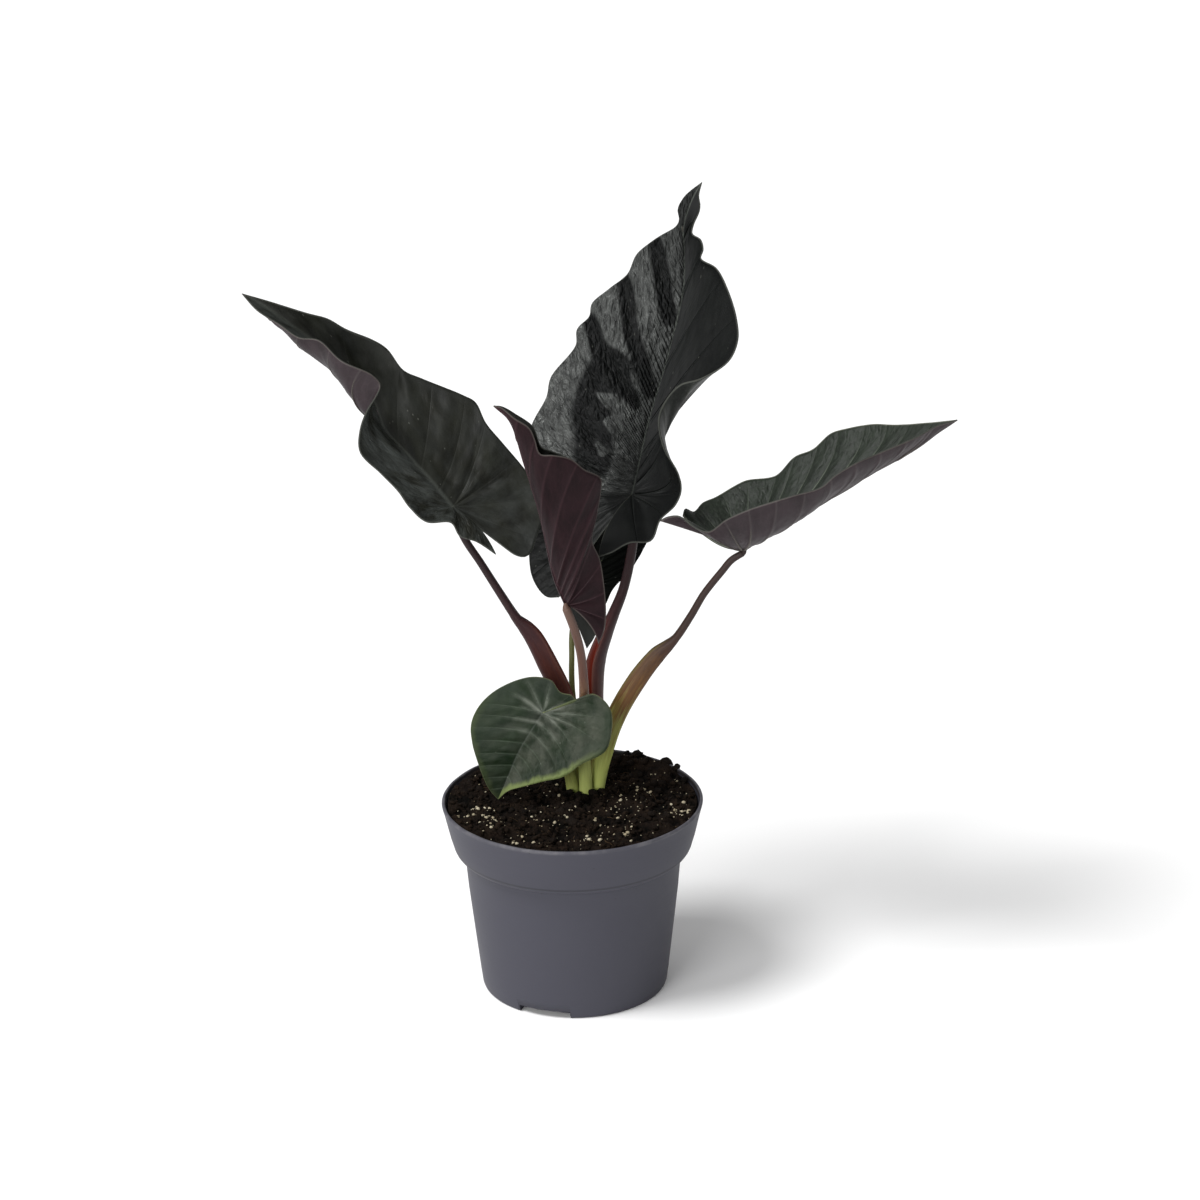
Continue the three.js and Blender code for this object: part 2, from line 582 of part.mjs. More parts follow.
// Corm: the short swollen stem in the soil, under the ring of petiole bases
function cormGeometry(grow = 0) {
  const { top, height, radius } = CORM;
  const profile = [[0, top + grow], [radius + grow, top + grow], [radius + grow, top - height / 2],
    [radius * 0.6 + grow, top - height - grow], [0, top - height - grow]];
  const points = profile.reverse().map(([r, z]) => new THREE.Vector2(r, z));
  const spun = new THREE.LatheGeometry(points, CORM_SIDES);
  spun.rotateX(Math.PI / 2);
  spun.translate(PLANT_AXIS[0], PLANT_AXIS[1], 0);
  return weld(spun);
}

// The hole in the soil fits round the corm and the petiole bases
let plantHole = toSolid(cormGeometry(SEAT_GAP));
const shaft = new THREE.CylinderGeometry(SHAFT.radius, SHAFT.radius, SHAFT.height, CORM_SIDES);
shaft.rotateX(Math.PI / 2);
shaft.translate(PLANT_AXIS[0], PLANT_AXIS[1], CORM.top - SHAFT.sink + SHAFT.height / 2);
plantHole = plantHole.add(toSolid(weld(shaft)));

for (const [name, stem] of Object.entries(petioles)) {
  const stations = [...stem, seatUnder(leaves[name], stem[stem.length - 1])];
  plantHole = plantHole.add(toSolid(stalkGeometry(stations, SEAT_GAP)));
  addNode(`petiole_${name}`, stalkGeometry(stations), petioleFinish[name]);
}
for (const [name, leaf] of Object.entries(leaves)) {
  addNode(`leaf_${name}`, bladeGeometry(leaf), bladeFinish[name]);
}
addNode('corm', cormGeometry(), cormBrown);
addNode('potting_soil', soilGeometry(plantHole), soilBrown);
addNode('pot', potGeometry(), plasticGrey);

export default group;
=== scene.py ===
"""Looks of a potted velvet alocasia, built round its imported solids.

Lengths are in millimetres until a mesh is finished, and in metres after that. A blade is
worked out from the same stations as its solid: rows run from the tip to the end of the back
lobe, and `across` runs from -1 on the left edge over 0 on the midrib to 1 on the right edge.
A shape is a grid whose points are moved by its form, a function of two shares from 0 to 1.
"""

import logging
import math
import random
from dataclasses import dataclass
from enum import Enum
from typing import Callable, Sequence

import bmesh
import bpy
import numpy as np
from mathutils import Matrix, Vector, noise
from mathutils.kdtree import KDTree


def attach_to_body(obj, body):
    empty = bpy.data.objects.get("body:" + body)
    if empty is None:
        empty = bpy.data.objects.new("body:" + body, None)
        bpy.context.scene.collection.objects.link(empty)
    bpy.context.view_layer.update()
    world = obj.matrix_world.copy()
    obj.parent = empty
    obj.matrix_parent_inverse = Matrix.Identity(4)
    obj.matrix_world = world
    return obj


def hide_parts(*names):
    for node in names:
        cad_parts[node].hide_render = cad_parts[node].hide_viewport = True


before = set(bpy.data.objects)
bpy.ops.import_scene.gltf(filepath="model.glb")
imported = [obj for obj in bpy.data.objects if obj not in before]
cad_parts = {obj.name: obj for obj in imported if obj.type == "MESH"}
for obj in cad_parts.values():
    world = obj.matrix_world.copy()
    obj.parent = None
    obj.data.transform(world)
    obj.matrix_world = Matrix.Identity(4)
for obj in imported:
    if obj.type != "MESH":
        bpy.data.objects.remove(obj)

LOG = logging.getLogger("alocasia")

Colour = tuple[float, float, float, float]
Station = tuple[float, ...]
Stations = Sequence[Station]
Socket = bpy.types.NodeSocket
Node = bpy.types.Node
Object = bpy.types.Object
BMesh = bmesh.types.BMesh
Array = np.ndarray
Curve = Callable[[Array], Array]
Line = tuple[Array, Array]
Formed = tuple[Array, dict[str, Array]]
Form = Callable[[Array, Array], Formed]

MM = 0.001
BODY = "root"
MERGE_DISTANCE = 1e-6
TINY = 1e-9
GOLDEN_ANGLE = math.pi * (3 - math.sqrt(5))

# Blade rows, as in the solids
FRONT_ROWS = 16
LOBE_ROWS = 8
ROWS = FRONT_ROWS + LOBE_ROWS
VEIN_EVERY = 2
QUILT_ROWS = 6
EDGE_DIVISIONS = 12
BLADE_THICKNESS = 0.62
SOLID_THICKNESS = 0.7
SEAT_GAP = 0.3

# Raised veins of a lower face
RIB_FLATNESS = 0.6
RIB_SINK = 0.25
RIB_TIP_SHARE = 0.12
RIB_REACH = 0.985
VEIN_REACH = 0.9

# Petioles and the ring that their bases stand in, as in the solids
PLANT_AXIS = (6.0, 17.5)
BASE_RING_RADIUS = 6.9
PETIOLE_FOOT = 79.8
PETIOLE_UPRIGHT = 12.0
PETIOLE_TOP_TAPER = 0.9
STALK_LENGTH = 150
STALK_ROUND = 3
STALK_VALUES = ("height", "lip", "throat")
BLADE_VALUES = ("vein", "rib", "margin", "reach", "joint", "fold", "left_side", "lobe", "low_side")


def srgb(red: int, green: int, blue: int) -> Colour:
    """Linear colour of an 8-bit display colour."""
    linear = [
        part / 12.92 if part <= 0.04045 else ((part + 0.055) / 1.055) ** 2.4
        for part in (red / 255, green / 255, blue / 255)
    ]
    return (*linear, 1.0)


class NodeBench:
    """Adds and links the nodes of one material or shader group."""

    def __init__(self, tree: bpy.types.NodeTree) -> None:
        """Keeps the tree that the nodes go into."""
        self.tree = tree

    def put(self, socket: Socket, value: object) -> None:
        """Gives an input socket its value.

        Args:
            socket: the input.
            value: a plain value, or the output socket that feeds it.
        """
        if isinstance(value, bpy.types.NodeSocket):
            self.tree.links.new(value, socket)
        else:
            socket.default_value = value

    def node(self, kind: str, inputs: dict[str, object] | None = None, **settings: object) -> Node:
        """Adds a node.

        Args:
            kind: the node's type name without the ShaderNode part.
            inputs: socket names with a value or the socket that feeds each.
            settings: the node's own properties.

        Returns:
            The new node.
        """
        made = self.tree.nodes.new("ShaderNode" + kind)
        for name, value in settings.items():
            setattr(made, name, value)
        for name, value in (inputs or {}).items():
            self.put(made.inputs[name], value)
        return made

    def attribute(self, name: str, output: str = "Fac") -> Socket:
        """Output socket of a mesh attribute."""
        return self.node("Attribute", attribute_name=name).outputs[output]

    def math(
        self, operation: str, first: object, second: object, third: object = 0.0, clamp: bool = False
    ) -> Socket:
        """Adds a math node.

        Args:
            operation: the node's operation.
            first: its first value, plain or a socket.
            second: its second value.
            third: its third value, for operations that have one.
            clamp: whether the result is kept from 0 to 1.

        Returns:
            The result's socket.
        """
        made = self.node("Math", operation=operation, use_clamp=clamp)
        for socket, value in zip(made.inputs, (first, second, third)):
            self.put(socket, value)
        return made.outputs[0]

    def product(self, first: object, *others: object) -> Socket:
        """Multiplies values from left to right.

        Args:
            first: the first value, plain or a socket.
            others: the values that follow.

        Returns:
            The product's socket.
        """
        result = first
        for other in others:
            result = self.math("MULTIPLY", result, other)
        return result

    def span(
        self, value: object, low: float, high: float, to_low: object = 0.0, to_high: object = 1.0
    ) -> Socket:
        """Eases a value from one range into another.

        Args:
            value: the value, plain or a socket.
            low: start of its range.
            high: end of its range.
            to_low: result at the start and before it.
            to_high: result at the end and after it.

        Returns:
            The result's socket.
        """
        made = self.node(
            "MapRange",
            {"Value": value, "From Min": low, "From Max": high, "To Min": to_low, "To Max": to_high},
            interpolation_type="SMOOTHSTEP",
        )
        return made.outputs["Result"]

    def mix(self, share: object, under: object, over: object) -> Socket:
        """Lays one colour over another.

        Args:
            share: how much of the upper colour shows.
            under: the lower colour.
            over: the upper colour.

        Returns:
            The mixed colour's socket.
        """
        made = self.node("Mix", data_type="RGBA")
        for index, value in ((0, share), (6, under), (7, over)):
            self.put(made.inputs[index], value)
        return made.outputs[2]

    def scaled(self, vector: object, scale: Sequence[float]) -> Socket:
        """A vector stretched along its three axes."""
        return self.node("Mapping", {"Vector": vector, "Scale": tuple(scale)}).outputs["Vector"]


class SharedEffect(Enum):
    """Shader groups that more than one material uses."""

    MOTTLE = "Mottle"
    LINE = "Line Along A Distance"
    CRINKLE = "Crinkle Between Veins"
    SPECKS = "Pale Specks"


class EffectShelf:
    """Builds each shared shader group once and places it in the materials."""

    WARP_SCALE = 0.35
    WARP_REACH = 3.2
    CELL_STRETCH = (0.62, 1.0, 1.0)
    CELL_EDGE = 0.34
    WRINKLE_SHARE = 0.45
    GRAIN_SCALE = 1.7
    GRAIN_SHARE = 0.3
    LINE_CORE = 0.15
    SPECK_SIZE = 0.2
    SPECK_CORE = 0.08

    def __init__(self) -> None:
        """Starts with no group made."""
        self.made: dict[SharedEffect, bpy.types.NodeTree] = {}

    def place(self, bench: NodeBench, effect: SharedEffect, inputs: dict[str, object]) -> Socket:
        """Places an effect in a material.

        Args:
            bench: the material's bench.
            effect: the effect, whose group is made at its first use.
            inputs: the group's input names with this material's own values.

        Returns:
            The group's one output.
        """
        if effect not in self.made:
            builders = {
                SharedEffect.MOTTLE: self._mottle, SharedEffect.LINE: self._line,
                SharedEffect.CRINKLE: self._crinkle, SharedEffect.SPECKS: self._specks,
            }
            self.made[effect] = builders[effect](effect.value)
        return bench.node("Group", inputs, node_tree=self.made[effect]).outputs[0]

    @staticmethod
    def _open(
        name: str, inputs: dict[str, tuple[str, object]], output: str
    ) -> tuple[NodeBench, Node, Node]:
        """Starts a group.

        Args:
            name: the group's name.
            inputs: input names with their socket type and default, None for no default.
            output: name of the one float output.

        Returns:
            The bench, the group's input node and its output node.
        """
        tree = bpy.data.node_groups.new(name, "ShaderNodeTree")
        for title, (kind, default) in inputs.items():
            socket = tree.interface.new_socket(title, in_out="INPUT", socket_type="NodeSocket" + kind)
            if default is not None:
                socket.default_value = default
        tree.interface.new_socket(output, in_out="OUTPUT", socket_type="NodeSocketFloat")
        return NodeBench(tree), tree.nodes.new("NodeGroupInput"), tree.nodes.new("NodeGroupOutput")

    def _mottle(self, name: str) -> bpy.types.NodeTree:
        """Makes soft patches: noise of a given size with its contrast raised.

        Args:
            name: the group's name.

        Returns:
            The group.
        """
        bench, given, result = self._open(
            name, {"Vector": ("Vector", None), "Scale": ("Float", 1.0), "Contrast": ("Float", 1.5)}, "Mask"
        )
        cloud = bench.node(
            "TexNoise", {"Vector": given.outputs["Vector"], "Scale": given.outputs["Scale"], "Detail": 5.0}
        )
        centred = bench.math("SUBTRACT", cloud.outputs["Fac"], 0.5)
        raised = bench.math("MULTIPLY", centred, given.outputs["Contrast"])
        bench.put(result.inputs["Mask"], bench.math("ADD", raised, 0.5, clamp=True))
        return bench.tree

    def _line(self, name: str) -> bpy.types.NodeTree:
        """Makes a line that is full at no distance and gone at its half width.

        Args:
            name: the group's name.

        Returns:
            The group.
        """
        bench, given, result = self._open(
            name, {"Distance": ("Float", 10.0), "Half Width": ("Float", 1.0)}, "Mask"
        )
        part = bench.math("DIVIDE", given.outputs["Distance"], given.outputs["Half Width"])
        bench.put(result.inputs["Mask"], bench.span(part, self.LINE_CORE, 1.0, 1.0, 0.0))
        return bench.tree

    def _crinkle(self, name: str) -> bpy.types.NodeTree:
        """Makes leather-like relief: small cells, furrows, wrinkles and fine grain.

        Args:
            name: the group's name.

        Returns:
            The group.
        """
        bench, given, result = self._open(
            name, {"Vector": ("Vector", None), "Cell": ("Float", 3.0), "Furrows": ("Float", 0.15)},
            "Height",
        )
        vector = given.outputs["Vector"]
        warp = bench.node("TexNoise", {"Vector": vector, "Scale": self.WARP_SCALE, "Detail": 3.0})
        shifted = bench.node("VectorMath", operation="MULTIPLY_ADD")
        reach = (self.WARP_REACH, self.WARP_REACH, 0.0)
        for socket, value in zip(shifted.inputs, (warp.outputs["Color"], reach, vector)):
            bench.put(socket, value)
        warped = shifted.outputs[0]
        cells = bench.node(
            "TexVoronoi",
            {"Vector": bench.scaled(warped, self.CELL_STRETCH),
             "Scale": bench.math("DIVIDE", 1.0, given.outputs["Cell"])},
            feature="DISTANCE_TO_EDGE",
        )
        furrows = bench.node(
            "TexWave",
            {"Vector": warped, "Scale": 0.2, "Distortion": 2.5, "Detail": 3.0, "Detail Scale": 0.6},
            bands_direction="Y",
        )
        wrinkles = bench.node(
            "TexNoise", {"Vector": bench.scaled(warped, (1.0, 0.7, 1.0)), "Scale": 0.3, "Detail": 3.0},
            noise_type="RIDGED_MULTIFRACTAL",
        )
        grain = bench.node("TexNoise", {"Vector": vector, "Scale": self.GRAIN_SCALE, "Detail": 4.0})
        height = bench.span(cells.outputs["Distance"], 0.0, self.CELL_EDGE)
        for layer, share in (
            (furrows, given.outputs["Furrows"]), (wrinkles, self.WRINKLE_SHARE), (grain, self.GRAIN_SHARE),
        ):
            height = bench.math("MULTIPLY_ADD", layer.outputs["Fac"], share, height)
        bench.put(result.inputs["Height"], height)
        return bench.tree

    def _specks(self, name: str) -> bpy.types.NodeTree:
        """Makes sparse small dots, chosen at random.

        Args:
            name: the group's name.

        Returns:
            The group.
        """
        bench, given, result = self._open(
            name, {"Vector": ("Vector", None), "Scale": ("Float", 1.0), "Share": ("Float", 0.2)}, "Mask"
        )
        spots = bench.node(
            "TexVoronoi",
            {"Vector": given.outputs["Vector"], "Scale": given.outputs["Scale"], "Randomness": 1.0},
        )
        lot = bench.node("SeparateColor", {"Color": spots.outputs["Color"]})
        chosen = bench.math("LESS_THAN", lot.outputs["Red"], given.outputs["Share"])
        dot = bench.span(spots.outputs["Distance"], self.SPECK_CORE, self.SPECK_SIZE, 1.0, 0.0)
        bench.put(result.inputs["Mask"], bench.math("MULTIPLY", chosen, dot))
        return bench.tree


EFFECTS = EffectShelf()


@dataclass(frozen=True)
class Finish:
    """What every finish has: a name and plain gloss values."""

    name: str
    roughness: float = 0.5
    sheen: float = 0.0
    sheen_roughness: float = 0.4
    sheen_tint: Colour = (1.0, 1.0, 1.0, 1.0)
    specular: float = 0.5
    subsurface: float = 0.0
    subsurface_radius: tuple[float, float, float] = (0.003, 0.0015, 0.0008)
    subsurface_scale: float = 0.4

    def material(self) -> bpy.types.Material:
        """The finish's material, made at its first use."""
        known = bpy.data.materials.get(self.name)
        if known:
            return known
        made = bpy.data.materials.new(self.name)
        made.use_nodes = True
        made.node_tree.nodes.clear()
        bench = NodeBench(made.node_tree)
        shader = bench.node(
            "BsdfPrincipled",
            {
                "Roughness": self.roughness, "Sheen Weight": self.sheen,
                "Sheen Roughness": self.sheen_roughness, "Sheen Tint": self.sheen_tint,
                "Specular IOR Level": self.specular, "Subsurface Weight": self.subsurface,
                "Subsurface Radius": self.subsurface_radius, "Subsurface Scale": self.subsurface_scale,
            },
        )
        output = bench.node("OutputMaterial")
        bench.put(output.inputs["Surface"], shader.outputs[0])
        self.dress(bench, shader)
        return made

    def dress(self, bench: NodeBench, shader: Node) -> None:
        """Feeds the shader's colour, roughness and normal. Each finish has its own way."""
        raise NotImplementedError

    @staticmethod
    def bumped(bench: NodeBench, shader: Node, height: Socket, depth: float, strength: float) -> None:
        """Turns a height into the shader's normal. Depth is what 1 stands for in millimetres."""
        bump = bench.node("Bump", {"Height": height, "Distance": depth * MM, "Strength": strength})
        bench.put(shader.inputs["Normal"], bump.outputs["Normal"])


@dataclass(frozen=True)
class FaceMasks:
    """Sockets of an upper face that several of its layers read.

    Attributes:
        place: place on the blade in millimetres, sideways and along from the tip.
        reach: share of the way from the midrib to the margin.
        rough_lit_side: 1 on the left half, less on the smoother right one, which also gets less painted
            sheen.
        lit: where the painted sheen shows.
        front: 1 on the front part, another share on the back lobes.
        lit: where the bloom may show.
    """

    place: Socket
    vein: Socket
    rib: Socket
    margin: Socket
    reach: Socket
    along: Socket
    rough_lit_side: Socket
    front: Socket
    sheen_mottle: Socket
    lit: Socket
    vein_line: Socket


@dataclass(frozen=True)
class VelvetFace(Finish):
    """Upper face of a blade: dark velvet with a painted sheen on its raised lit parts, paler veins, a thin
    pale margin and dust.

    Attributes:
        painted_sheen_share: how much painted sheen, a pale silvery highlight, shows on the left half.
        smooth_shaded_side_share: the same share for painted sheen and relief on the right half, kept in
            painted shade.
        lobe_share: the same share for painted sheen and relief on the back lobes: painted shade below 1,
            glints above.
        tip_share: the same share at the tip, which ends at tip_length.
        fold_gone: height of a crease at which the painted sheen is gone, leaving the crease in painted
            shade.
        fold_bare: height of a crease at which the painted sheen is whole.
        star_reach: length of the pale star round the joint, 0 for none.
        gloss: how much the painted sheen's places lower the roughness.
        metal: how much the painted sheen's places raise the metallic value.
    """

    deep: Colour = srgb(9, 11, 10)
    patch: Colour = srgb(19, 22, 20)
    patch_scale: float = 0.09
    patch_contrast: float = 2.2
    painted_sheen: Colour = srgb(72, 76, 73)
    painted_sheen_share: float = 0.65
    smooth_shaded_side_share: float = 0.14
    lobe_share: float = 1.0
    tip_share: float = 1.0
    tip_length: float = 45.0
    fold_gone: float = -0.5
    fold_bare: float = -0.08
    sheen_mottle_scale: float = 0.55
    sheen_mottle_contrast: float = 3.0
    sheen_mottle_roughness: float = 0.1
    gloss: float = 0.0
    metal: float = 0.0
    vein: Colour = srgb(50, 54, 50)
    vein_share: float = 0.12
    vein_width: float = 0.8
    vein_groove: float = 0.5
    rib_share: float = 0.7
    rib_width: float = 0.65
    rib_tone: Colour = srgb(86, 90, 84)
    margin: Colour = srgb(74, 76, 68)
    margin_width: float = 0.5
    margin_share: float = 0.45
    broad_margin: Colour | None = None
    broad_margin_width: float = 6.0
    broad_margin_wander: float = 5.0
    star_reach: float = 0.0
    star_tone: Colour = srgb(120, 132, 124)
    dust: Colour = srgb(120, 122, 114)
    dust_scale: float = 0.4
    dust_share: float = 0.07
    dust_strength: float = 0.3
    crinkle: float = 0.55
    crinkle_cell: float = 3.2
    furrows: float = 0.15
    relief_depth: float = 0.45
    striae: float = 0.0
    striae_from: tuple[float, float] = (35.0, 65.0)
    striae_reach: tuple[float, float] = (7.0, 14.0)

    def dress(self, bench: NodeBench, shader: Node) -> None:
        """Layers patches, painted sheen, veins, margin and dust over the dark base.

        Args:
            bench: the material's bench.
            shader: the Principled node.
        """
        masks = self._masks(bench)
        patches = EFFECTS.place(
            bench, SharedEffect.MOTTLE,
            {"Vector": masks.place, "Scale": self.patch_scale, "Contrast": self.patch_contrast},
        )
        # Painted sheen: a pale silvery highlight laid on the lit places.
        painted_sheen_mask = bench.product(masks.sheen_mottle, masks.lit, self.painted_sheen_share)
        colour = bench.mix(patches, self.deep, self.patch)
        colour = bench.mix(painted_sheen_mask, colour, self.painted_sheen)
        colour = self._veined(bench, masks, colour)
        if self.star_reach:
            colour = self._starred(bench, masks, colour)
        if self.broad_margin:
            colour = self._broadly_edged(bench, masks, colour)
        edge = EFFECTS.place(
            bench, SharedEffect.LINE, {"Distance": masks.margin, "Half Width": self.margin_width}
        )
        colour = bench.mix(bench.product(edge, self.margin_share), colour, self.margin)
        dust = EFFECTS.place(
            bench, SharedEffect.SPECKS,
            {"Vector": masks.place, "Scale": self.dust_scale, "Share": self.dust_share},
        )
        colour = bench.mix(bench.product(dust, self.dust_strength), colour, self.dust)
        bench.put(shader.inputs["Base Color"], colour)
        rough = bench.math("MULTIPLY_ADD", masks.sheen_mottle, self.sheen_mottle_roughness, self.roughness)
        glossy = bench.math("SUBTRACT", rough, bench.product(masks.lit, self.gloss))
        bench.put(shader.inputs["Roughness"], glossy)
        if self.metal:
            bench.put(shader.inputs["Metallic"], bench.product(painted_sheen_mask, self.metal))
        self.bumped(bench, shader, self._relief(bench, masks), self.relief_depth, self.crinkle)

    def _masks(self, bench: NodeBench) -> FaceMasks:
        """Reads the blade's attributes and works out its masks.

        Args:
            bench: the material's bench.

        Returns:
            The masks.
        """
        place = bench.attribute("blade", "Vector")
        vein, reach = bench.attribute("vein"), bench.attribute("reach")
        along = bench.node("SeparateXYZ", {"Vector": place}).outputs["Y"]
        # Places for the painted sheen: raised places, the left half more than the right, the front part and
        # less at the tip. Creases, the right half and, below a lobe_share of 1, the back lobes are kept in
        # painted shade.
        raised = bench.span(bench.attribute("fold"), self.fold_gone, self.fold_bare)
        rough_lit_side = bench.math("MAXIMUM", bench.attribute("left_side"), self.smooth_shaded_side_share)
        front = bench.span(bench.attribute("lobe"), 0.0, 1.0, 1.0, self.lobe_share)
        from_tip = bench.span(along, self.tip_length * 0.25, self.tip_length, self.tip_share, 1.0)
        shown = bench.product(raised, from_tip, rough_lit_side)
        sheen_mottle = EFFECTS.place(
            bench, SharedEffect.MOTTLE,
            {"Vector": place, "Scale": self.sheen_mottle_scale, "Contrast": self.sheen_mottle_contrast},
        )
        taper = bench.span(reach, 0.0, 1.0, self.vein_width, self.vein_width * 0.35)
        return FaceMasks(
            place=place, vein=vein, rib=bench.attribute("rib"), margin=bench.attribute("margin"),
            reach=reach, along=along, rough_lit_side=rough_lit_side, front=front, sheen_mottle=sheen_mottle,
            lit=bench.math("MULTIPLY", shown, front, clamp=True),
            vein_line=EFFECTS.place(bench, SharedEffect.LINE, {"Distance": vein, "Half Width": taper}),
        )

    def _veined(self, bench: NodeBench, masks: FaceMasks, colour: Socket) -> Socket:
        """Draws the side veins, which fade outwards, and the midrib.

        Args:
            bench: the material's bench.
            masks: the face's masks.
            colour: the colour below.

        Returns:
            The colour with veins.
        """
        fade = bench.span(masks.reach, 0.35, 0.95, self.vein_share, self.vein_share * 0.25)
        colour = bench.mix(bench.product(masks.vein_line, fade), colour, self.vein)
        rib_line = EFFECTS.place(
            bench, SharedEffect.LINE, {"Distance": masks.rib, "Half Width": self.rib_width}
        )
        return bench.mix(bench.product(rib_line, self.rib_share), colour, self.rib_tone)

    def _starred(self, bench: NodeBench, masks: FaceMasks, colour: Socket) -> Socket:
        """Spreads a blotchy pale star from the joint along the veins.

        Args:
            bench: the material's bench.
            masks: the face's masks.
            colour: the colour below.

        Returns:
            The colour with its star.
        """
        star = bench.span(bench.attribute("joint"), 1.0, self.star_reach, 0.9, 0.0)
        rays = bench.span(masks.vein, 0.15, 1.9, 1.0, 0.12)
        blotches = bench.span(masks.sheen_mottle, 0.0, 1.0, 0.15, 0.8)
        return bench.mix(bench.product(star, rays, blotches), colour, self.star_tone)

    def _broadly_edged(self, bench: NodeBench, masks: FaceMasks, colour: Socket) -> Socket:
        """Adds the broad ragged margin along the lower side.

        Args:
            bench: the material's bench.
            masks: the face's masks.
            colour: the colour below.

        Returns:
            The colour with its margin.
        """
        ragged = bench.node("TexNoise", {"Vector": masks.place, "Scale": 0.16, "Detail": 3.0})
        wander = bench.math(
            "MULTIPLY_ADD", ragged.outputs["Fac"], self.broad_margin_wander, -0.4 * self.broad_margin_wander
        )
        away = bench.math("ADD", masks.margin, wander)
        band = bench.span(away, self.broad_margin_width * 0.35, self.broad_margin_width, 0.9, 0.0)
        return bench.mix(bench.product(band, bench.attribute("low_side")), colour, self.broad_margin)

    def _relief(self, bench: NodeBench, masks: FaceMasks) -> Socket:
        """Crinkled skin with sunken veins and fine lines beside the midrib.

        Args:
            bench: the material's bench.
            masks: the face's masks.

        Returns:
            The height.
        """
        skin = EFFECTS.place(
            bench, SharedEffect.CRINKLE,
            {"Vector": masks.place, "Cell": self.crinkle_cell, "Furrows": self.furrows},
        )
        sided = bench.product(skin, masks.rough_lit_side, masks.front)
        height = bench.math("SUBTRACT", sided, bench.product(masks.vein_line, self.vein_groove))
        if not self.striae:
            return height
        lines = bench.node(
            "TexWave",
            {"Vector": masks.place, "Scale": 0.2, "Distortion": 1.2, "Detail": 2.0, "Detail Scale": 0.5},
            bands_direction="Y",
        )
        lower = bench.span(masks.along, *self.striae_from, 0.2, 1.0)
        near_rib = bench.span(masks.rib, *self.striae_reach, self.striae, 0.0)
        shown = bench.product(near_rib, lower, masks.rough_lit_side)
        return bench.math("MULTIPLY_ADD", lines.outputs["Fac"], shown, height)


@dataclass(frozen=True)
class BladeUnderside(Finish):
    """Lower face of a blade: dull purple or green with raised paler veins."""

    deep: Colour = srgb(20, 8, 11)
    patch: Colour = srgb(33, 17, 21)
    vein: Colour = srgb(58, 38, 42)
    vein_share: float = 0.3
    vein_width: float = 0.7
    rib_share: float = 0.6
    rib_width: float = 1.8
    net_share: float = 0.07
    net_width: float = 0.09
    margin: Colour = srgb(88, 82, 78)
    margin_share: float = 0.6
    margin_width: float = 0.8

    def dress(self, bench: NodeBench, shader: Node) -> None:
        """Layers patches, net veins, side veins, midrib and the pale margin.

        Args:
            bench: the material's bench.
            shader: the Principled node.
        """
        place = bench.attribute("blade", "Vector")
        patches = EFFECTS.place(
            bench, SharedEffect.MOTTLE, {"Vector": place, "Scale": 0.1, "Contrast": 2.4}
        )
        colour = bench.mix(patches, self.deep, self.patch)
        net = bench.node(
            "TexVoronoi", {"Vector": bench.scaled(place, (0.6, 1.0, 1.0)), "Scale": 0.33},
            feature="DISTANCE_TO_EDGE",
        )
        net_line = bench.span(net.outputs["Distance"], 0.0, self.net_width, self.net_share, 0.0)
        colour = bench.mix(net_line, colour, self.vein)
        for distance, half_width, share, tone in (
            ("vein", self.vein_width, self.vein_share, self.vein),
            ("rib", self.rib_width, self.rib_share, self.vein),
            ("margin", self.margin_width, self.margin_share, self.margin),
        ):
            line = EFFECTS.place(
                bench, SharedEffect.LINE,
                {"Distance": bench.attribute(distance), "Half Width": half_width},
            )
            colour = bench.mix(bench.product(line, share), colour, tone)
        bench.put(shader.inputs["Base Color"], colour)
        grain = bench.node("TexNoise", {"Vector": place, "Scale": 1.4, "Detail": 4.0})
        raised = bench.math("MULTIPLY_ADD", grain.outputs["Fac"], 0.5, net_line)
        self.bumped(bench, shader, raised, 0.25, 0.4)


@dataclass(frozen=True)
class StalkSkin(Finish):
    """Skin of a petiole or a vein: colours by height, darker streaks and pale sheath lips."""

    stops: tuple[tuple[float, Colour], ...] = ()
    wander: float = 0.22
    lip: Colour = srgb(176, 160, 120)
    lip_share: float = 0.6
    throat: Colour = srgb(112, 62, 48)
    throat_share: float = 0.6
    streak: Colour = srgb(60, 38, 38)
    streak_share: float = 0.35

    def dress(self, bench: NodeBench, shader: Node) -> None:
        """Runs colours up the stalk, then streaks, throat and lips.

        Args:
            bench: the material's bench.
            shader: the Principled node.
        """
        place = bench.attribute("stalk", "Vector")
        height = bench.attribute("height")
        drift = bench.node(
            "TexNoise", {"Vector": bench.scaled(place, (0.12, 1.2, 1.2)), "Scale": 1.0, "Detail": 4.0}
        )
        centred = bench.math("SUBTRACT", drift.outputs["Fac"], 0.5)
        ramp = bench.node("ValToRGB", {"Fac": bench.math("MULTIPLY_ADD", centred, self.wander, height)})
        elements = ramp.color_ramp.elements
        for index, (position, tone) in enumerate(self.stops):
            element = elements[index] if index < 2 else elements.new(position)
            element.position = position
            element.color = tone
        lines = bench.node(
            "TexNoise", {"Vector": bench.scaled(place, (0.05, 3.2, 3.2)), "Scale": 1.0, "Detail": 3.0}
        )
        streaks = bench.span(lines.outputs["Fac"], 0.5, 0.68, 0.0, self.streak_share)
        above = bench.span(height, 0.08, 0.3)
        colour = bench.mix(bench.product(streaks, above), ramp.outputs["Color"], self.streak)
        throat = bench.product(bench.attribute("throat"), above, self.throat_share)
        colour = bench.mix(throat, colour, self.throat)
        lip = bench.product(bench.attribute("lip"), self.lip_share)
        bench.put(shader.inputs["Base Color"], bench.mix(lip, colour, self.lip))
        self.bumped(bench, shader, lines.outputs["Fac"], 0.25, 0.35)


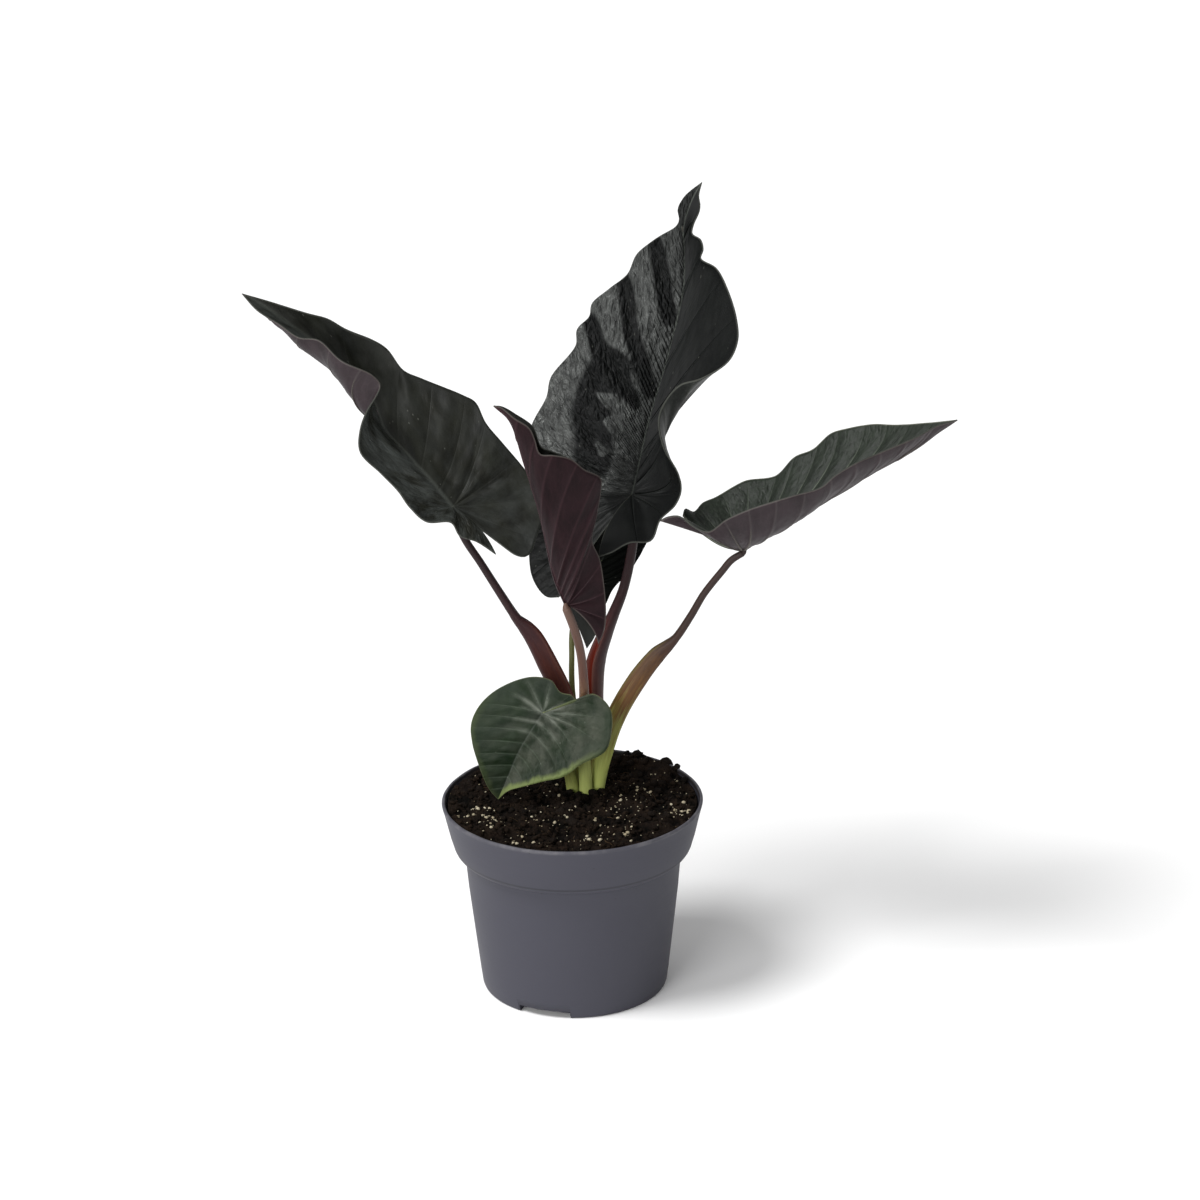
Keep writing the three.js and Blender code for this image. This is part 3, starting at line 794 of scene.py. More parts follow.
@dataclass(frozen=True)
class MouldedPlastic(Finish):
    """Recycled grey pot plastic: faint clouds, a rubbed lip, soil on it and a painted line of shade under
    the collar.

    Heights and radii are in metres, as Object coordinates are.
    """

    tone: Colour = srgb(58, 58, 67)
    pale: Colour = srgb(74, 73, 80)
    pale_share: float = 0.28
    rubbed: Colour = srgb(112, 110, 112)
    lip_height: tuple[float, float] = (0.0893, 0.0905)
    soil: Colour = srgb(22, 17, 14)
    soil_radius: tuple[float, float] = (0.0588, 0.0592)
    soil_height: tuple[float, float] = (0.0893, 0.0899)
    # Painted shade: a dark line just under the collar's step, where the collar's lower edge shades the
    # wall.
    line: Colour = srgb(30, 30, 34)
    collar_shade_height: tuple[float, float, float, float] = (0.0690, 0.0697, 0.0700, 0.0708)
    crumb: Colour = srgb(38, 33, 30)

    def dress(self, bench: NodeBench, shader: Node) -> None:
        """Clouds the grey, rubs the lip pale, adds splashes of soil and paints a dark line of shade under
        the collar.

        Args:
            bench: the material's bench.
            shader: the Principled node.
        """
        place = bench.node("TexCoord").outputs["Object"]
        clouds = EFFECTS.place(
            bench, SharedEffect.MOTTLE, {"Vector": place, "Scale": 22.0, "Contrast": 1.0}
        )
        colour = bench.mix(bench.product(clouds, self.pale_share), self.tone, self.pale)
        height = bench.node("SeparateXYZ", {"Vector": place}).outputs["Z"]
        worn = bench.node("TexNoise", {"Vector": place, "Scale": 160.0, "Detail": 5.0}).outputs["Fac"]
        wear = bench.product(bench.span(height, *self.lip_height), bench.span(worn, 0.35, 0.75, 0.1, 0.5))
        colour = bench.mix(wear, colour, self.rubbed)
        flat = bench.node(
            "VectorMath", {"Vector": bench.scaled(place, (1.0, 1.0, 0.0))}, operation="LENGTH"
        )
        smeared = bench.math("MULTIPLY_ADD", worn, 0.0008, flat.outputs["Value"])
        inside = bench.span(smeared, *self.soil_radius, 0.9, 0.0)
        on_lip = bench.span(height, *self.soil_height)
        colour = bench.mix(bench.product(inside, on_lip), colour, self.soil)
        # Painted shade: a thin dark band just under the collar.
        shade_start = bench.span(height, *self.collar_shade_height[:2])
        shade_end = bench.span(height, *self.collar_shade_height[2:], 0.55, 0.0)
        colour = bench.mix(bench.product(shade_start, shade_end), colour, self.line)
        crumbs = EFFECTS.place(
            bench, SharedEffect.SPECKS, {"Vector": place, "Scale": 420.0, "Share": 0.05}
        )
        below_rim = bench.span(height, 0.05, 0.089, 0.15, 0.7)
        colour = bench.mix(bench.product(crumbs, below_rim), colour, self.crumb)
        bench.put(shader.inputs["Base Color"], colour)
        rough = bench.math("MULTIPLY_ADD", clouds, 0.18, self.roughness)
        bench.put(shader.inputs["Roughness"], rough)
        skin = bench.node("TexNoise", {"Vector": bench.scaled(place, (1.0, 1.0, 6.0)), "Scale": 90.0})
        self.bumped(bench, shader, skin.outputs["Fac"], 0.2, 0.25)


@dataclass(frozen=True)
class Peat(Finish):
    """Dark crumbly peat, damp in patches, with painted shade in the gaps between clods where asked."""

    dark: Colour = srgb(9, 6, 5)
    light: Colour = srgb(40, 30, 22)
    grit: Colour = srgb(128, 114, 84)
    # Painted shade for the gaps between clods.
    hollow: Colour = srgb(2, 2, 1)
    shaded_hollows: bool = False

    def dress(self, bench: NodeBench, shader: Node) -> None:
        """Mixes browns from coarse to fine, with pale grit and, where asked, painted shade in the hollows
        between clods.

        Args:
            bench: the material's bench.
            shader: the Principled node.
        """
        place = bench.node("TexCoord").outputs["Object"]
        coarse, fine = (
            EFFECTS.place(
                bench, SharedEffect.MOTTLE, {"Vector": place, "Scale": scale, "Contrast": contrast}
            )
            for scale, contrast in ((110.0, 2.0), (900.0, 2.4))
        )
        share = bench.product(coarse, bench.span(fine, 0.0, 1.0, 0.4, 1.0))
        colour = bench.mix(share, self.dark, self.light)
        grit = EFFECTS.place(bench, SharedEffect.SPECKS, {"Vector": place, "Scale": 620.0, "Share": 0.08})
        colour = bench.mix(bench.product(grit, 0.6), colour, self.grit)
        if self.shaded_hollows:
            # Painted shade: near-black where the bed lies deep between clods.
            hollow_shade = bench.span(bench.attribute("hollow"), 0.1, 0.8, 0.0, 0.85)
            colour = bench.mix(hollow_shade, colour, self.hollow)
        bench.put(shader.inputs["Base Color"], colour)
        self.bumped(bench, shader, bench.math("ADD", coarse, fine), 0.9, 0.8)


@dataclass(frozen=True)
class Grain(Finish):
    """Plain small bits that differ a little from piece to piece: perlite, bark, fibre."""

    tone: Colour = srgb(190, 178, 150)
    other: Colour = srgb(140, 122, 88)
    scale: float = 260.0

    def dress(self, bench: NodeBench, shader: Node) -> None:
        """Clouds one tone with the other and pits the surface.

        Args:
            bench: the material's bench.
            shader: the Principled node.
        """
        place = bench.node("TexCoord").outputs["Object"]
        clouds = EFFECTS.place(
            bench, SharedEffect.MOTTLE, {"Vector": place, "Scale": self.scale, "Contrast": 2.6}
        )
        bench.put(shader.inputs["Base Color"], bench.mix(clouds, self.tone, self.other))
        pits = bench.node("TexNoise", {"Vector": place, "Scale": 1400.0, "Detail": 3.0})
        self.bumped(bench, shader, pits.outputs["Fac"], 0.3, 0.5)


@dataclass(frozen=True)
class Paper(Finish):
    """The pale sweep that the pot stands on."""

    tone: Colour = srgb(250, 250, 250)

    def dress(self, bench: NodeBench, shader: Node) -> None:
        """One even tone."""
        bench.put(shader.inputs["Base Color"], self.tone)


class SmoothCurve:
    """Centripetal Catmull-Rom curve through stations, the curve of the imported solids."""

    def __init__(self, stations: Stations) -> None:
        """Keeps the stations, with one more beyond each end that steers the end spans.

        Args:
            stations: points or longer rows of numbers that the curve runs through.
        """
        self.points = np.array(stations, float)
        first = 2 * self.points[0] - self.points[1]
        last = 2 * self.points[-1] - self.points[-2]
        self.steered = np.vstack([first, self.points, last])

    def at(self, share: Array) -> Array:
        """Finds points of the curve.

        Args:
            share: places from 0 to 1, in equal steps from station to station.

        Returns:
            One point a row.
        """
        spans = len(self.points) - 1
        place = np.clip(share, 0, 1) * spans
        index = np.minimum(place.astype(int), spans - 1)
        part = (place - index)[:, None]
        before, start, end, after = (self.steered[index + step] for step in range(4))
        gap_before, gap, gap_after = (
            np.sqrt(np.linalg.norm(high - low, axis=1, keepdims=True))
            for low, high in ((before, start), (start, end), (end, after))
        )
        straight = (end - start) / gap
        leaving = (start - before) / gap_before - (end - before) / (gap_before + gap) + straight
        arriving = straight - (after - start) / (gap + gap_after) + (after - end) / gap_after
        leaving, arriving = leaving * gap, arriving * gap
        square = -3 * start + 3 * end - 2 * leaving - arriving
        cube = 2 * start - 2 * end + leaving + arriving
        return start + leaving * part + square * part**2 + cube * part**3

    def lengths(self) -> tuple[Array, Array]:
        """Shares at equal steps and the curve's length up to each."""
        shares = np.linspace(0, 1, (len(self.points) - 1) * EDGE_DIVISIONS + 1)
        steps = np.linalg.norm(np.diff(self.at(shares), axis=0), axis=1)
        return shares, np.concatenate([[0.0], np.cumsum(steps)])


def unit(vectors: Array) -> Array:
    """Vectors of length one, one a row."""
    return vectors / np.maximum(np.linalg.norm(vectors, axis=-1, keepdims=True), TINY)


def canvas(values: Sequence[str] = (), vectors: Sequence[str] = ()) -> BMesh:
    """Starts a bmesh with a layer for each attribute that its shapes will carry.

    Args:
        values: names of the attributes that hold one number.
        vectors: names of the attributes that hold a vector.

    Returns:
        The empty bmesh.
    """
    bm = bmesh.new()
    for name in values:
        bm.verts.layers.float.new(name)
    for name in vectors:
        bm.verts.layers.float_vector.new(name)
    return bm


def formed(bm: BMesh, rows: int, columns: int, form: Form, closed: bool) -> None:
    """Adds a grid to a bmesh and moves it into shape.

    Args:
        bm: the bmesh, whose earlier vertices stay as they are.
        rows: spans along the first direction.
        columns: spans along the second direction.
        form: gives the place in millimetres and the attributes for two shares from 0 to 1.
        closed: whether the shape closes on itself, so that its normals are worked out again.
    """
    grid = bmesh.ops.create_grid(bm, x_segments=rows, y_segments=columns, size=1.0)["verts"]
    flat = np.array([vert.co[:2] for vert in grid])
    places, values = form((flat[:, 0] + 1) / 2, (flat[:, 1] + 1) / 2)
    for name, column in values.items():
        kinds = bm.verts.layers.float if column.ndim == 1 else bm.verts.layers.float_vector
        layer = kinds[name]
        for vert, value in zip(grid, column.tolist()):
            vert[layer] = value
    for vert, place in zip(grid, (places * MM).tolist()):
        vert.co = place
    faces = list({face for vert in grid for face in vert.link_faces})
    bmesh.ops.remove_doubles(bm, verts=grid, dist=MERGE_DISTANCE)
    if closed:
        bmesh.ops.recalc_face_normals(bm, faces=[face for face in faces if face.is_valid])


def finished(name: str, bm: BMesh, finishes: Sequence[Finish]) -> Object:
    """Turns a bmesh into a smooth piece that rides on the plant's one body.

    Args:
        name: the piece's name.
        bm: its shape in metres, which is freed.
        finishes: one finish for each material index.

    Returns:
        The piece.
    """
    mesh = bpy.data.meshes.new(name)
    bm.to_mesh(mesh)
    bm.free()
    mesh.polygons.foreach_set("use_smooth", [True] * len(mesh.polygons))
    for finish in finishes:
        mesh.materials.append(finish.material())
    piece = bpy.data.objects.new(name, mesh)
    bpy.context.scene.collection.objects.link(piece)
    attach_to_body(piece, BODY)
    LOG.info("%s: %d faces", name, len(mesh.polygons))
    return piece


def swept(centres: Array, wide: Array, half_wide: Array, half_deep: Array, angle: Array) -> Array:
    """Finds points of a tube's skin. Its depth lies across the width and the tube's own run.

    Args:
        centres: the tube's middle and heading at each point, as along_curve() stacks them.
        wide: direction of the width at each point.
        half_wide: half width at each point.
        half_deep: half depth at each point.
        angle: turn round the tube from the width's direction, in radians.

    Returns:
        The skin's points, one a row.
    """
    ahead = unit(centres[:, 1])
    across = unit(wide - ahead * np.sum(wide * ahead, axis=1, keepdims=True))
    deep = np.cross(ahead, across)
    sideways = across * (half_wide * np.cos(angle))[:, None]
    return centres[:, 0] + sideways + deep * (half_deep * np.sin(angle))[:, None]


def along_curve(curve: Curve, share: Array) -> Array:
    """Finds the middle and the heading of a curve.

    Args:
        curve: gives the curve's points for shares.
        share: places from 0 to 1.

    Returns:
        Both for each share, stacked for swept().
    """
    step = 1e-3
    heading = curve(np.minimum(share + step, 1)) - curve(np.maximum(share - step, 0))
    return np.stack([curve(share), heading], axis=1)


def rounded_ends(share: Array, part: float) -> Array:
    """Width factor that rounds a tube's two ends off to a point over a part of its run."""
    near = np.minimum(share, 1 - share) / part
    return np.sqrt(np.clip(1 - (1 - np.minimum(near, 1)) ** 2, 0, 1))


def stalk_place(along: Array, angle: Array) -> Array:
    """Places on a stalk's unrolled skin, which its streaks follow."""
    return np.stack([along, np.cos(angle) * STALK_ROUND, np.sin(angle) * STALK_ROUND], axis=1)


@dataclass(frozen=True)
class BladeHalf:
    """One side of a blade.

    Attributes:
        quilt: height of the pleats between the side veins.
        edge: the margin from the tip to the back lobe's end.
        shoulder: number of the edge's station where the back lobe starts.
        belly: keys of a share of the rows and how far the half's middle bulges there.
    """

    quilt: float
    edge: Stations
    shoulder: int
    belly: Stations

    def edge_at(self, row: Array) -> Array:
        """Finds the margin.

        Args:
            row: vein rows.

        Returns:
            The edge's point at each row.
        """
        curve = SmoothCurve(self.edge)
        shares, lengths = curve.lengths()
        bend = lengths[self.shoulder * EDGE_DIVISIONS]
        front = bend * row / FRONT_ROWS
        lobe = bend + (lengths[-1] - bend) * (row - FRONT_ROWS) / LOBE_ROWS
        return curve.at(np.interp(np.where(row <= FRONT_ROWS, front, lobe), lengths, shares))

    def belly_at(self, row: Array) -> Array:
        """Finds the bulge of the half's middle, eased between its keys.

        Args:
            row: vein rows.

        Returns:
            The bulge at each row.
        """
        keys = np.array(self.belly, float)
        share = row / ROWS
        index = np.clip(np.searchsorted(keys[:, 0], share) - 1, 0, len(keys) - 2)
        low, high = keys[index], keys[index + 1]
        part = np.clip((share - low[:, 0]) / (high[:, 0] - low[:, 0]), 0, 1)
        eased = (part * part * (3 - 2 * part))[:, None]
        return low[:, 1:] + (high[:, 1:] - low[:, 1:]) * eased


@dataclass(frozen=True)
class Crease:
    """A soft fold in a blade: stations (along, out), and how far it sinks or, below zero, rises."""

    path: Stations
    depth: float
    width: float

    def height(self, along: Array, out: Array) -> Array:
        """Works out the height that the crease gives.

        Args:
            along: places along the midrib in the leaf's frame.
            out: places across it.

        Returns:
            The height at each place.
        """
        curve = SmoothCurve([(*station, 0.0) for station in self.path])
        share = np.linspace(0, 1, 60)
        line = curve.at(share)
        gap = np.hypot(along[:, None] - line[None, :, 0], out[:, None] - line[None, :, 1])
        nearest = np.argmin(gap, axis=1)
        ends = np.sqrt(np.clip(1 - (2 * share[nearest] - 1) ** 4, 0, 1))
        closest = gap[np.arange(len(gap)), nearest]
        return -self.depth * ends * np.exp(-((closest / self.width) ** 2))


@dataclass(frozen=True)
class Blade:
    """A leaf blade with its veins, in the leaf's own frame as in the solids.

    Attributes:
        attach: the joint of stalk and blade, the frame's origin.
        tip: where the frame's first axis points.
        facing: rough direction of the upper face.
        lean: how strongly the rows crowd towards the joint.
        rib: the midrib from the tip to the joint.
        fineness: factor on the mesh's spans.
        crinkle: height of the puckers between the veins.
        crinkle_spacing: factor on the size of the puckers.
        right_calm: share of the puckers that the right half has.
        groove: depth of the grooves over the veins.
        lobe_calm: how far the pleats die out on the back lobes.
        creases: soft folds that the photograph shows.
        seed: offset of the blade's own noise.
    """

    name: str
    attach: Station
    tip: Station
    facing: Station
    lean: float
    rib: Stations
    right: BladeHalf
    left: BladeHalf
    face: Finish
    underside: Finish
    rim: Finish
    rib_skin: Finish
    slot: str
    rib_radius: float
    fineness: float = 1.0
    spans_a_row: int = 4
    spans_across: int = 38
    crinkle: float = 0.3
    crinkle_spacing: float = 1.0
    right_calm: float = 1.0
    groove: float = 0.3
    groove_width: float = 0.8
    lobe_calm: float = 0.0
    creases: tuple[Crease, ...] = ()
    seed: float = 0.0

    def axes(self) -> Array:
        """The leaf frame's three directions: along, out and lift."""
        along = unit(np.subtract(self.tip, self.attach).astype(float))
        lift = np.array(self.facing, float)
        lift = unit(lift - along * float(lift @ along))
        return np.array([along, np.cross(along, lift), lift])

    def sheet(self, row: Array, across: Array) -> Array:
        """Finds points of the blade's middle layer.

        Args:
            row: vein rows.
            across: places across the blade from -1 to 1.

        Returns:
            The points in millimetres, one a row.
        """
        reach = np.abs(across)
        front = np.minimum(1, row / FRONT_ROWS)
        root = SmoothCurve(self.rib).at((1 + self.lean) * front / (1 + self.lean * front))
        on_right = (across >= 0)[:, None]
        edge = np.where(on_right, self.right.edge_at(row), self.left.edge_at(row))
        belly = np.where(on_right, self.right.belly_at(row), self.left.belly_at(row))
        local = root + (edge - root) * reach[:, None] + belly * (4 * reach * (1 - reach))[:, None]
        quilt = np.where(across >= 0, self.right.quilt, self.left.quilt) * np.minimum(1, row / QUILT_ROWS)
        quilt = quilt * (1 - self.lobe_calm * np.clip((row - FRONT_ROWS + 3) / 3, 0, 1))
        local[:, 2] += quilt * np.sin(np.pi * row / VEIN_EVERY) ** 2 * np.sin(np.pi * reach)
        calm = np.clip(reach / 0.06, 0, 1) * np.clip((1 - reach) / 0.1, 0, 1)
        local[:, 2] += self.fold(local) * calm
        return np.array(self.attach, float) + local @ self.axes()

    def fold(self, local: Array) -> Array:
        """Height of all creases at places in the leaf's frame."""
        heights = (crease.height(local[:, 0], local[:, 1]) for crease in self.creases)
        return sum(heights, np.zeros(len(local)))

    def outward(self, row: Array, across: Array) -> Array:
        """Finds the unit normals of the upper face.

        Args:
            row: vein rows.
            across: places across the blade from -1 to 1.

        Returns:
            One normal a row. Where the sheet has no width, it is the leaf's lift.
        """
        step_row, step_across = 0.05, 0.004
        next_row, last_row = np.minimum(row + step_row, ROWS), np.maximum(row - step_row, 0)
        next_across = np.minimum(across + step_across, 1)
        last_across = np.maximum(across - step_across, -1)
        down_rows = self.sheet(next_row, across) - self.sheet(last_row, across)
        over = self.sheet(row, next_across) - self.sheet(row, last_across)
        normal = np.cross(down_rows, over)
        flat = np.linalg.norm(normal, axis=1, keepdims=True) < TINY
        return unit(np.where(flat, self.axes()[2], normal))

    def vein_rows(self) -> range:
        """Rows that carry a side vein."""
        return range(VEIN_EVERY, ROWS, VEIN_EVERY)

    def distances(self, across: Array, places: Array) -> dict[str, Array]:
        """Measures how far each point lies from its half's veins, the midrib and the margin.

        Args:
            across: the points' places across the blade from -1 to 1.
            places: the points in millimetres.

        Returns:
            The distances in millimetres by their names.
        """
        fine = np.linspace(0, 1, 160)
        far = {name: np.zeros(len(across)) for name in ("vein", "rib", "margin")}
        for side in (1, -1):
            chosen = np.flatnonzero(across >= 0 if side > 0 else across < 0)
            veins = [self.sheet(np.full(fine.size, float(line)), side * fine) for line in self.vein_rows()]
            midrib = [self.sheet(np.linspace(0, FRONT_ROWS, 400), np.zeros(400))]
            edges = [self.sheet(np.linspace(0, ROWS, 900), np.full(900, float(side)))]
            if self.left.edge[-1] != self.right.edge[-1]:
                edges.append(self.sheet(np.full(fine.size, float(ROWS)), side * fine))
            for name, lines in (("vein", veins), ("rib", midrib), ("margin", edges)):
                points = np.vstack(lines)
                tree = KDTree(len(points))
                for index, point in enumerate(points.tolist()):
                    tree.insert(point, index)
                tree.balance()
                far[name][chosen] = [tree.find(place)[2] for place in places[chosen].tolist()]
        return far

    def form(self, along: Array, over: Array) -> Formed:
        """Shapes the blade, with rows crowded round the veins.

        Args:
            along: shares from the tip to the back lobes' ends.
            over: shares from the left margin to the right one.

        Returns:
            The blade's points and its attributes.
        """
        even = along * ROWS
        row = np.clip(even - 0.55 * np.sin(np.pi * even) / np.pi, 0, ROWS)
        signed = over * 2 - 1
        across = np.sign(signed) * np.abs(signed) ** 1.2
        middle = self.sheet(row, across)
        far = self.distances(across, middle)
        root = self.sheet(row, np.zeros(len(row)))
        sideways = np.linalg.norm(middle - root, axis=1) * np.sign(across)
        length = float(np.linalg.norm(np.subtract(self.tip, self.attach)))
        place = np.stack([sideways, row * length / FRONT_ROWS, np.full(len(row), self.seed)], axis=1)
        lobe = np.clip((row - FRONT_ROWS + 1) / 3, 0, 1)
        height = self._relief(place, far, across) - self._grooves(far, lobe)
        height = height * np.clip((ROWS - row) / 1.5, 0, 1)
        from_joint = middle - np.array(self.attach, float)
        values = {
            "blade": place, **far, "reach": np.abs(across), "joint": np.linalg.norm(from_joint, axis=1),
            "fold": self.fold(from_joint @ self.axes().T), "left_side": np.clip(0.5 - across * 12, 0, 1),
            "lobe": lobe,
            "low_side": np.where(across < 0, 1.0, 0.12) * np.clip((FRONT_ROWS + 2 - row) / 4, 0, 1),
        }
        return middle + self.outward(row, across) * height[:, None], values

    def _relief(self, place: Array, far: dict[str, Array], across: Array) -> Array:
        """Works out the height of the puckered skin between the veins.

        Args:
            place: places on the blade in millimetres, with the seed as their third part.
            far: distances from veins, midrib and margin.
            across: places across the blade from -1 to 1.

        Returns:
            The height at each place.
        """
        spacing = (self.crinkle_spacing, self.crinkle_spacing, 1.0)
        pucker = [
            noise.noise((x * 0.16, y * 0.3, z)) + 0.55 * noise.noise((x * 0.4, y * 0.62, z + 7.0))
            for x, y, z in (place / spacing).tolist()
        ]
        relief = self.crinkle * np.array(pucker) * np.clip(far["vein"] / 2.0, 0.2, 1)
        relief = relief * np.where(across > 0, self.right_calm, 1.0)
        return relief * np.clip(far["margin"] / 2.5, 0, 1) * np.clip(far["rib"] / 2.0, 0.15, 1)

    def _grooves(self, far: dict[str, Array], lobe: Array) -> Array:
        """Works out the depth of the grooves over the veins and the midrib.

        Args:
            far: distances from veins, midrib and margin.
            lobe: 1 on the back lobes, 0 on the front part.

        Returns:
            The depth at each place.
        """
        veins = np.exp(-((far["vein"] / self.groove_width) ** 2)) * (1 - 0.7 * lobe)
        midrib = np.exp(-((far["rib"] / self.groove_width) ** 2))
        return self.groove * (veins + midrib) * np.clip(far["margin"] / 3.0, 0, 1)

    def build(self) -> Object:
        """Builds the blade and gives it its thickness."""
        bm = canvas(BLADE_VALUES, ("blade",))
        rows = 2 * round(ROWS * self.spans_a_row * self.fineness)
        formed(bm, rows, 2 * round(self.spans_across * self.fineness), self.form, closed=False)
        piece = finished(f"{self.name}_blade", bm, (self.face, self.underside, self.rim))
        shell = piece.modifiers.new("thickness", "SOLIDIFY")
        shell.thickness = BLADE_THICKNESS * MM
        shell.offset = 0
        shell.material_offset = 1
        shell.material_offset_rim = 2
        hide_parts(f"leaf_{self.name}")
        return piece

    def build_ribs(self) -> Object:
        """Builds the raised midrib and side veins of the lower face."""
        bm = canvas(STALK_VALUES, ("stalk",))
        self._add_rib(bm, self._midrib_line, self.rib_radius, 96, 12)
        for row in self.vein_rows():
            strength = 0.5 if row < FRONT_ROWS else 0.6
            for side in (1, -1):
                line = self._vein_line(float(row), side)
                self._add_rib(bm, line, self.rib_radius * strength, 24, 6)
        return finished(f"{self.name}_ribs", bm, (self.rib_skin,))

    @staticmethod
    def _midrib_line(share: Array) -> Line:
        """Rows and places across for the midrib's shares."""
        return FRONT_ROWS * (1 - share * RIB_REACH), 0 * share

    @staticmethod
    def _vein_line(row: float, side: int) -> Callable[[Array], Line]:
        """Rows and places across for a side vein's shares."""
        return lambda share: (np.full(share.size, row), side * share * VEIN_REACH)

    def _add_rib(
        self, bm: BMesh, line: Callable[[Array], Line], radius: float, steps: int, sides: int
    ) -> None:
        """Adds one tapering rib, half sunk in the lower face.

        Args:
            bm: the bmesh that the rib joins.
            line: rows and places across for shares from the leaf's joint outwards.
            radius: radius at its root.
            steps: spans along it.
            sides: spans round it.
        """

        def size_at(share: Array) -> Array:
            """Radius at shares of the rib."""
            return radius * (RIB_TIP_SHARE + (1 - RIB_TIP_SHARE) * (1 - share) ** 0.8)

        def middle(share: Array) -> Array:
            """The rib's middle line, below the lower face."""
            row, across = line(share)
            sunk = RIB_SINK + RIB_FLATNESS * size_at(share)
            return self.sheet(row, across) - self.outward(row, across) * sunk[:, None]

        def form(along: Array, round_it: Array) -> Formed:
            """The rib's skin and attributes."""
            angle = 2 * np.pi * round_it
            size = size_at(along) * rounded_ends(along, 0.05)
            wide = self.outward(*line(along))
            skin = swept(along_curve(middle, along), wide, RIB_FLATNESS * size, size, angle)
            zeros = np.zeros(len(along))
            values = {"height": 0.75 + 0.25 * along, "lip": zeros, "throat": zeros}
            return skin, {"stalk": stalk_place(along * 100, angle), **values}

        formed(bm, steps, sides, form, closed=True)

    def seat(self, below: Station) -> Station:
        """Finds the top station of the petiole, just clear of the lower face.

        Args:
            below: the petiole's last station below it.

        Returns:
            The top station, with its half width and half depth.
        """
        lift = self.axes()[2]
        attach = np.array(self.attach, float)
        radius = below[3] * PETIOLE_TOP_TAPER
        approach = unit(attach - np.array(below[:3]))
        lean = math.sqrt(1 - float(approach @ lift) ** 2)
        place = attach - lift * (SOLID_THICKNESS / 2 + SEAT_GAP * 0.3 + radius * lean)
        return (*place.tolist(), radius, radius)


@dataclass(frozen=True)
class Petiole:
    """A leaf stalk with an open sheath that clasps the next one at its foot.

    Attributes:
        base_angle: place of its foot on the ring of feet, in degrees.
        rise: stations above the foot: x, y, z, half width and half depth.
        sheath_end: share of its length at which the sheath closes.
        sheath_wing: how far the sheath's lips stand out, as a share of the width.
    """

    name: str
    base_angle: float
    rise: Stations
    sheath_end: float
    sheath_wing: float
    skin: Finish
    slot: str

    def stations(self, blade: Blade) -> list[Station]:
        """Lists the stations from the foot to the blade.

        Args:
            blade: the blade above.

        Returns:
            The stations, each with its half width and half depth.
        """
        radians = math.radians(self.base_angle)
        x = PLANT_AXIS[0] + BASE_RING_RADIUS * math.cos(radians)
        y = PLANT_AXIS[1] + BASE_RING_RADIUS * math.sin(radians)
        foot = [(x, y, PETIOLE_FOOT, 3.0, 3.0), (x, y, PETIOLE_FOOT + PETIOLE_UPRIGHT, 3.1, 3.1)]
        return [*foot, *self.rise, blade.seat(self.rise[-1])]

    def build(self, blade: Blade) -> Object:
        """Sweeps the stalk: grooved and lipped along the sheath, round above it.

        Args:
            blade: the blade that it carries.

        Returns:
            The stalk with its neck.
        """
        stations = np.array(self.stations(blade))
        path = SmoothCurve(stations[:, :3])
        middle = stations[len(stations) // 2]
        inward = unit(np.array([PLANT_AXIS[0] - middle[0], PLANT_AXIS[1] - middle[1], 1e-3]))
        places = np.linspace(0, 1, len(stations))

        def form(along: Array, round_it: Array) -> Formed:
            """The stalk's skin and attributes."""
            angle = 2 * np.pi * (round_it - 0.5)
            turn = np.abs(angle)
            in_sheath = 1 / (1 + np.exp((along - self.sheath_end) / 0.035))
            foot = np.clip(along / 0.18, 0, 1)
            groove = np.exp(-((turn / 0.36) ** 2)) * (0.08 + 0.5 * in_sheath * foot)
            lip = np.exp(-(((turn - 0.62) / 0.17) ** 2)) * in_sheath * foot
            radius = (1 - groove + self.sheath_wing * lip) * rounded_ends(along, 0.012)
            half_wide = np.interp(along, places, stations[:, 3]) * radius
            half_deep = np.interp(along, places, stations[:, 4]) * radius
            wide = np.tile(inward, (len(along), 1))
            skin = swept(along_curve(path.at, along), wide, half_wide, half_deep, angle)
            throat = np.exp(-((turn / 0.55) ** 2)) * in_sheath
            values = {"height": along, "lip": lip, "throat": throat}
            return skin, {"stalk": stalk_place(along * STALK_LENGTH, angle), **values}

        bm = canvas(STALK_VALUES, ("stalk",))
        formed(bm, 150, 56, form, closed=True)
        self._add_neck(bm, blade, path, float(stations[-1, 3]))
        piece = finished(f"{self.name}_stalk", bm, (self.skin,))
        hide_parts(f"petiole_{self.name}")
        return piece

    @staticmethod
    def _add_neck(bm: BMesh, blade: Blade, path: SmoothCurve, radius: float) -> None:
        """Adds the neck by which the stalk's top runs into the blade's midrib.

        Args:
            bm: the stalk's bmesh.
            blade: the blade above.
            path: the stalk's middle line.
            radius: radius of the stalk's top.
        """
        lift = blade.axes()[2]
        rib = blade.sheet(np.array([FRONT_ROWS - 1.0, FRONT_ROWS - 0.4]), np.zeros(2))
        start, top = path.at(np.array([0.965, 0.997]))
        curve = SmoothCurve([start, top, rib[1] - lift * radius * 0.8, rib[0] - lift * radius * 0.5])
        side = np.cross(lift, unit(rib[0] - start))

        def form(along: Array, round_it: Array) -> Formed:
            """The neck's skin and attributes."""
            angle = 2 * np.pi * round_it
            size = radius * (1 - 0.62 * along) * rounded_ends(along, 0.12)
            wide = np.tile(side, (len(along), 1))
            skin = swept(along_curve(curve.at, along), wide, size, size, angle)
            zeros = np.zeros(len(along))
            values = {"height": zeros + 1, "lip": zeros, "throat": zeros}
            return skin, {"stalk": stalk_place(STALK_LENGTH + along * 8, angle), **values}

        formed(bm, 14, 16, form, closed=True)


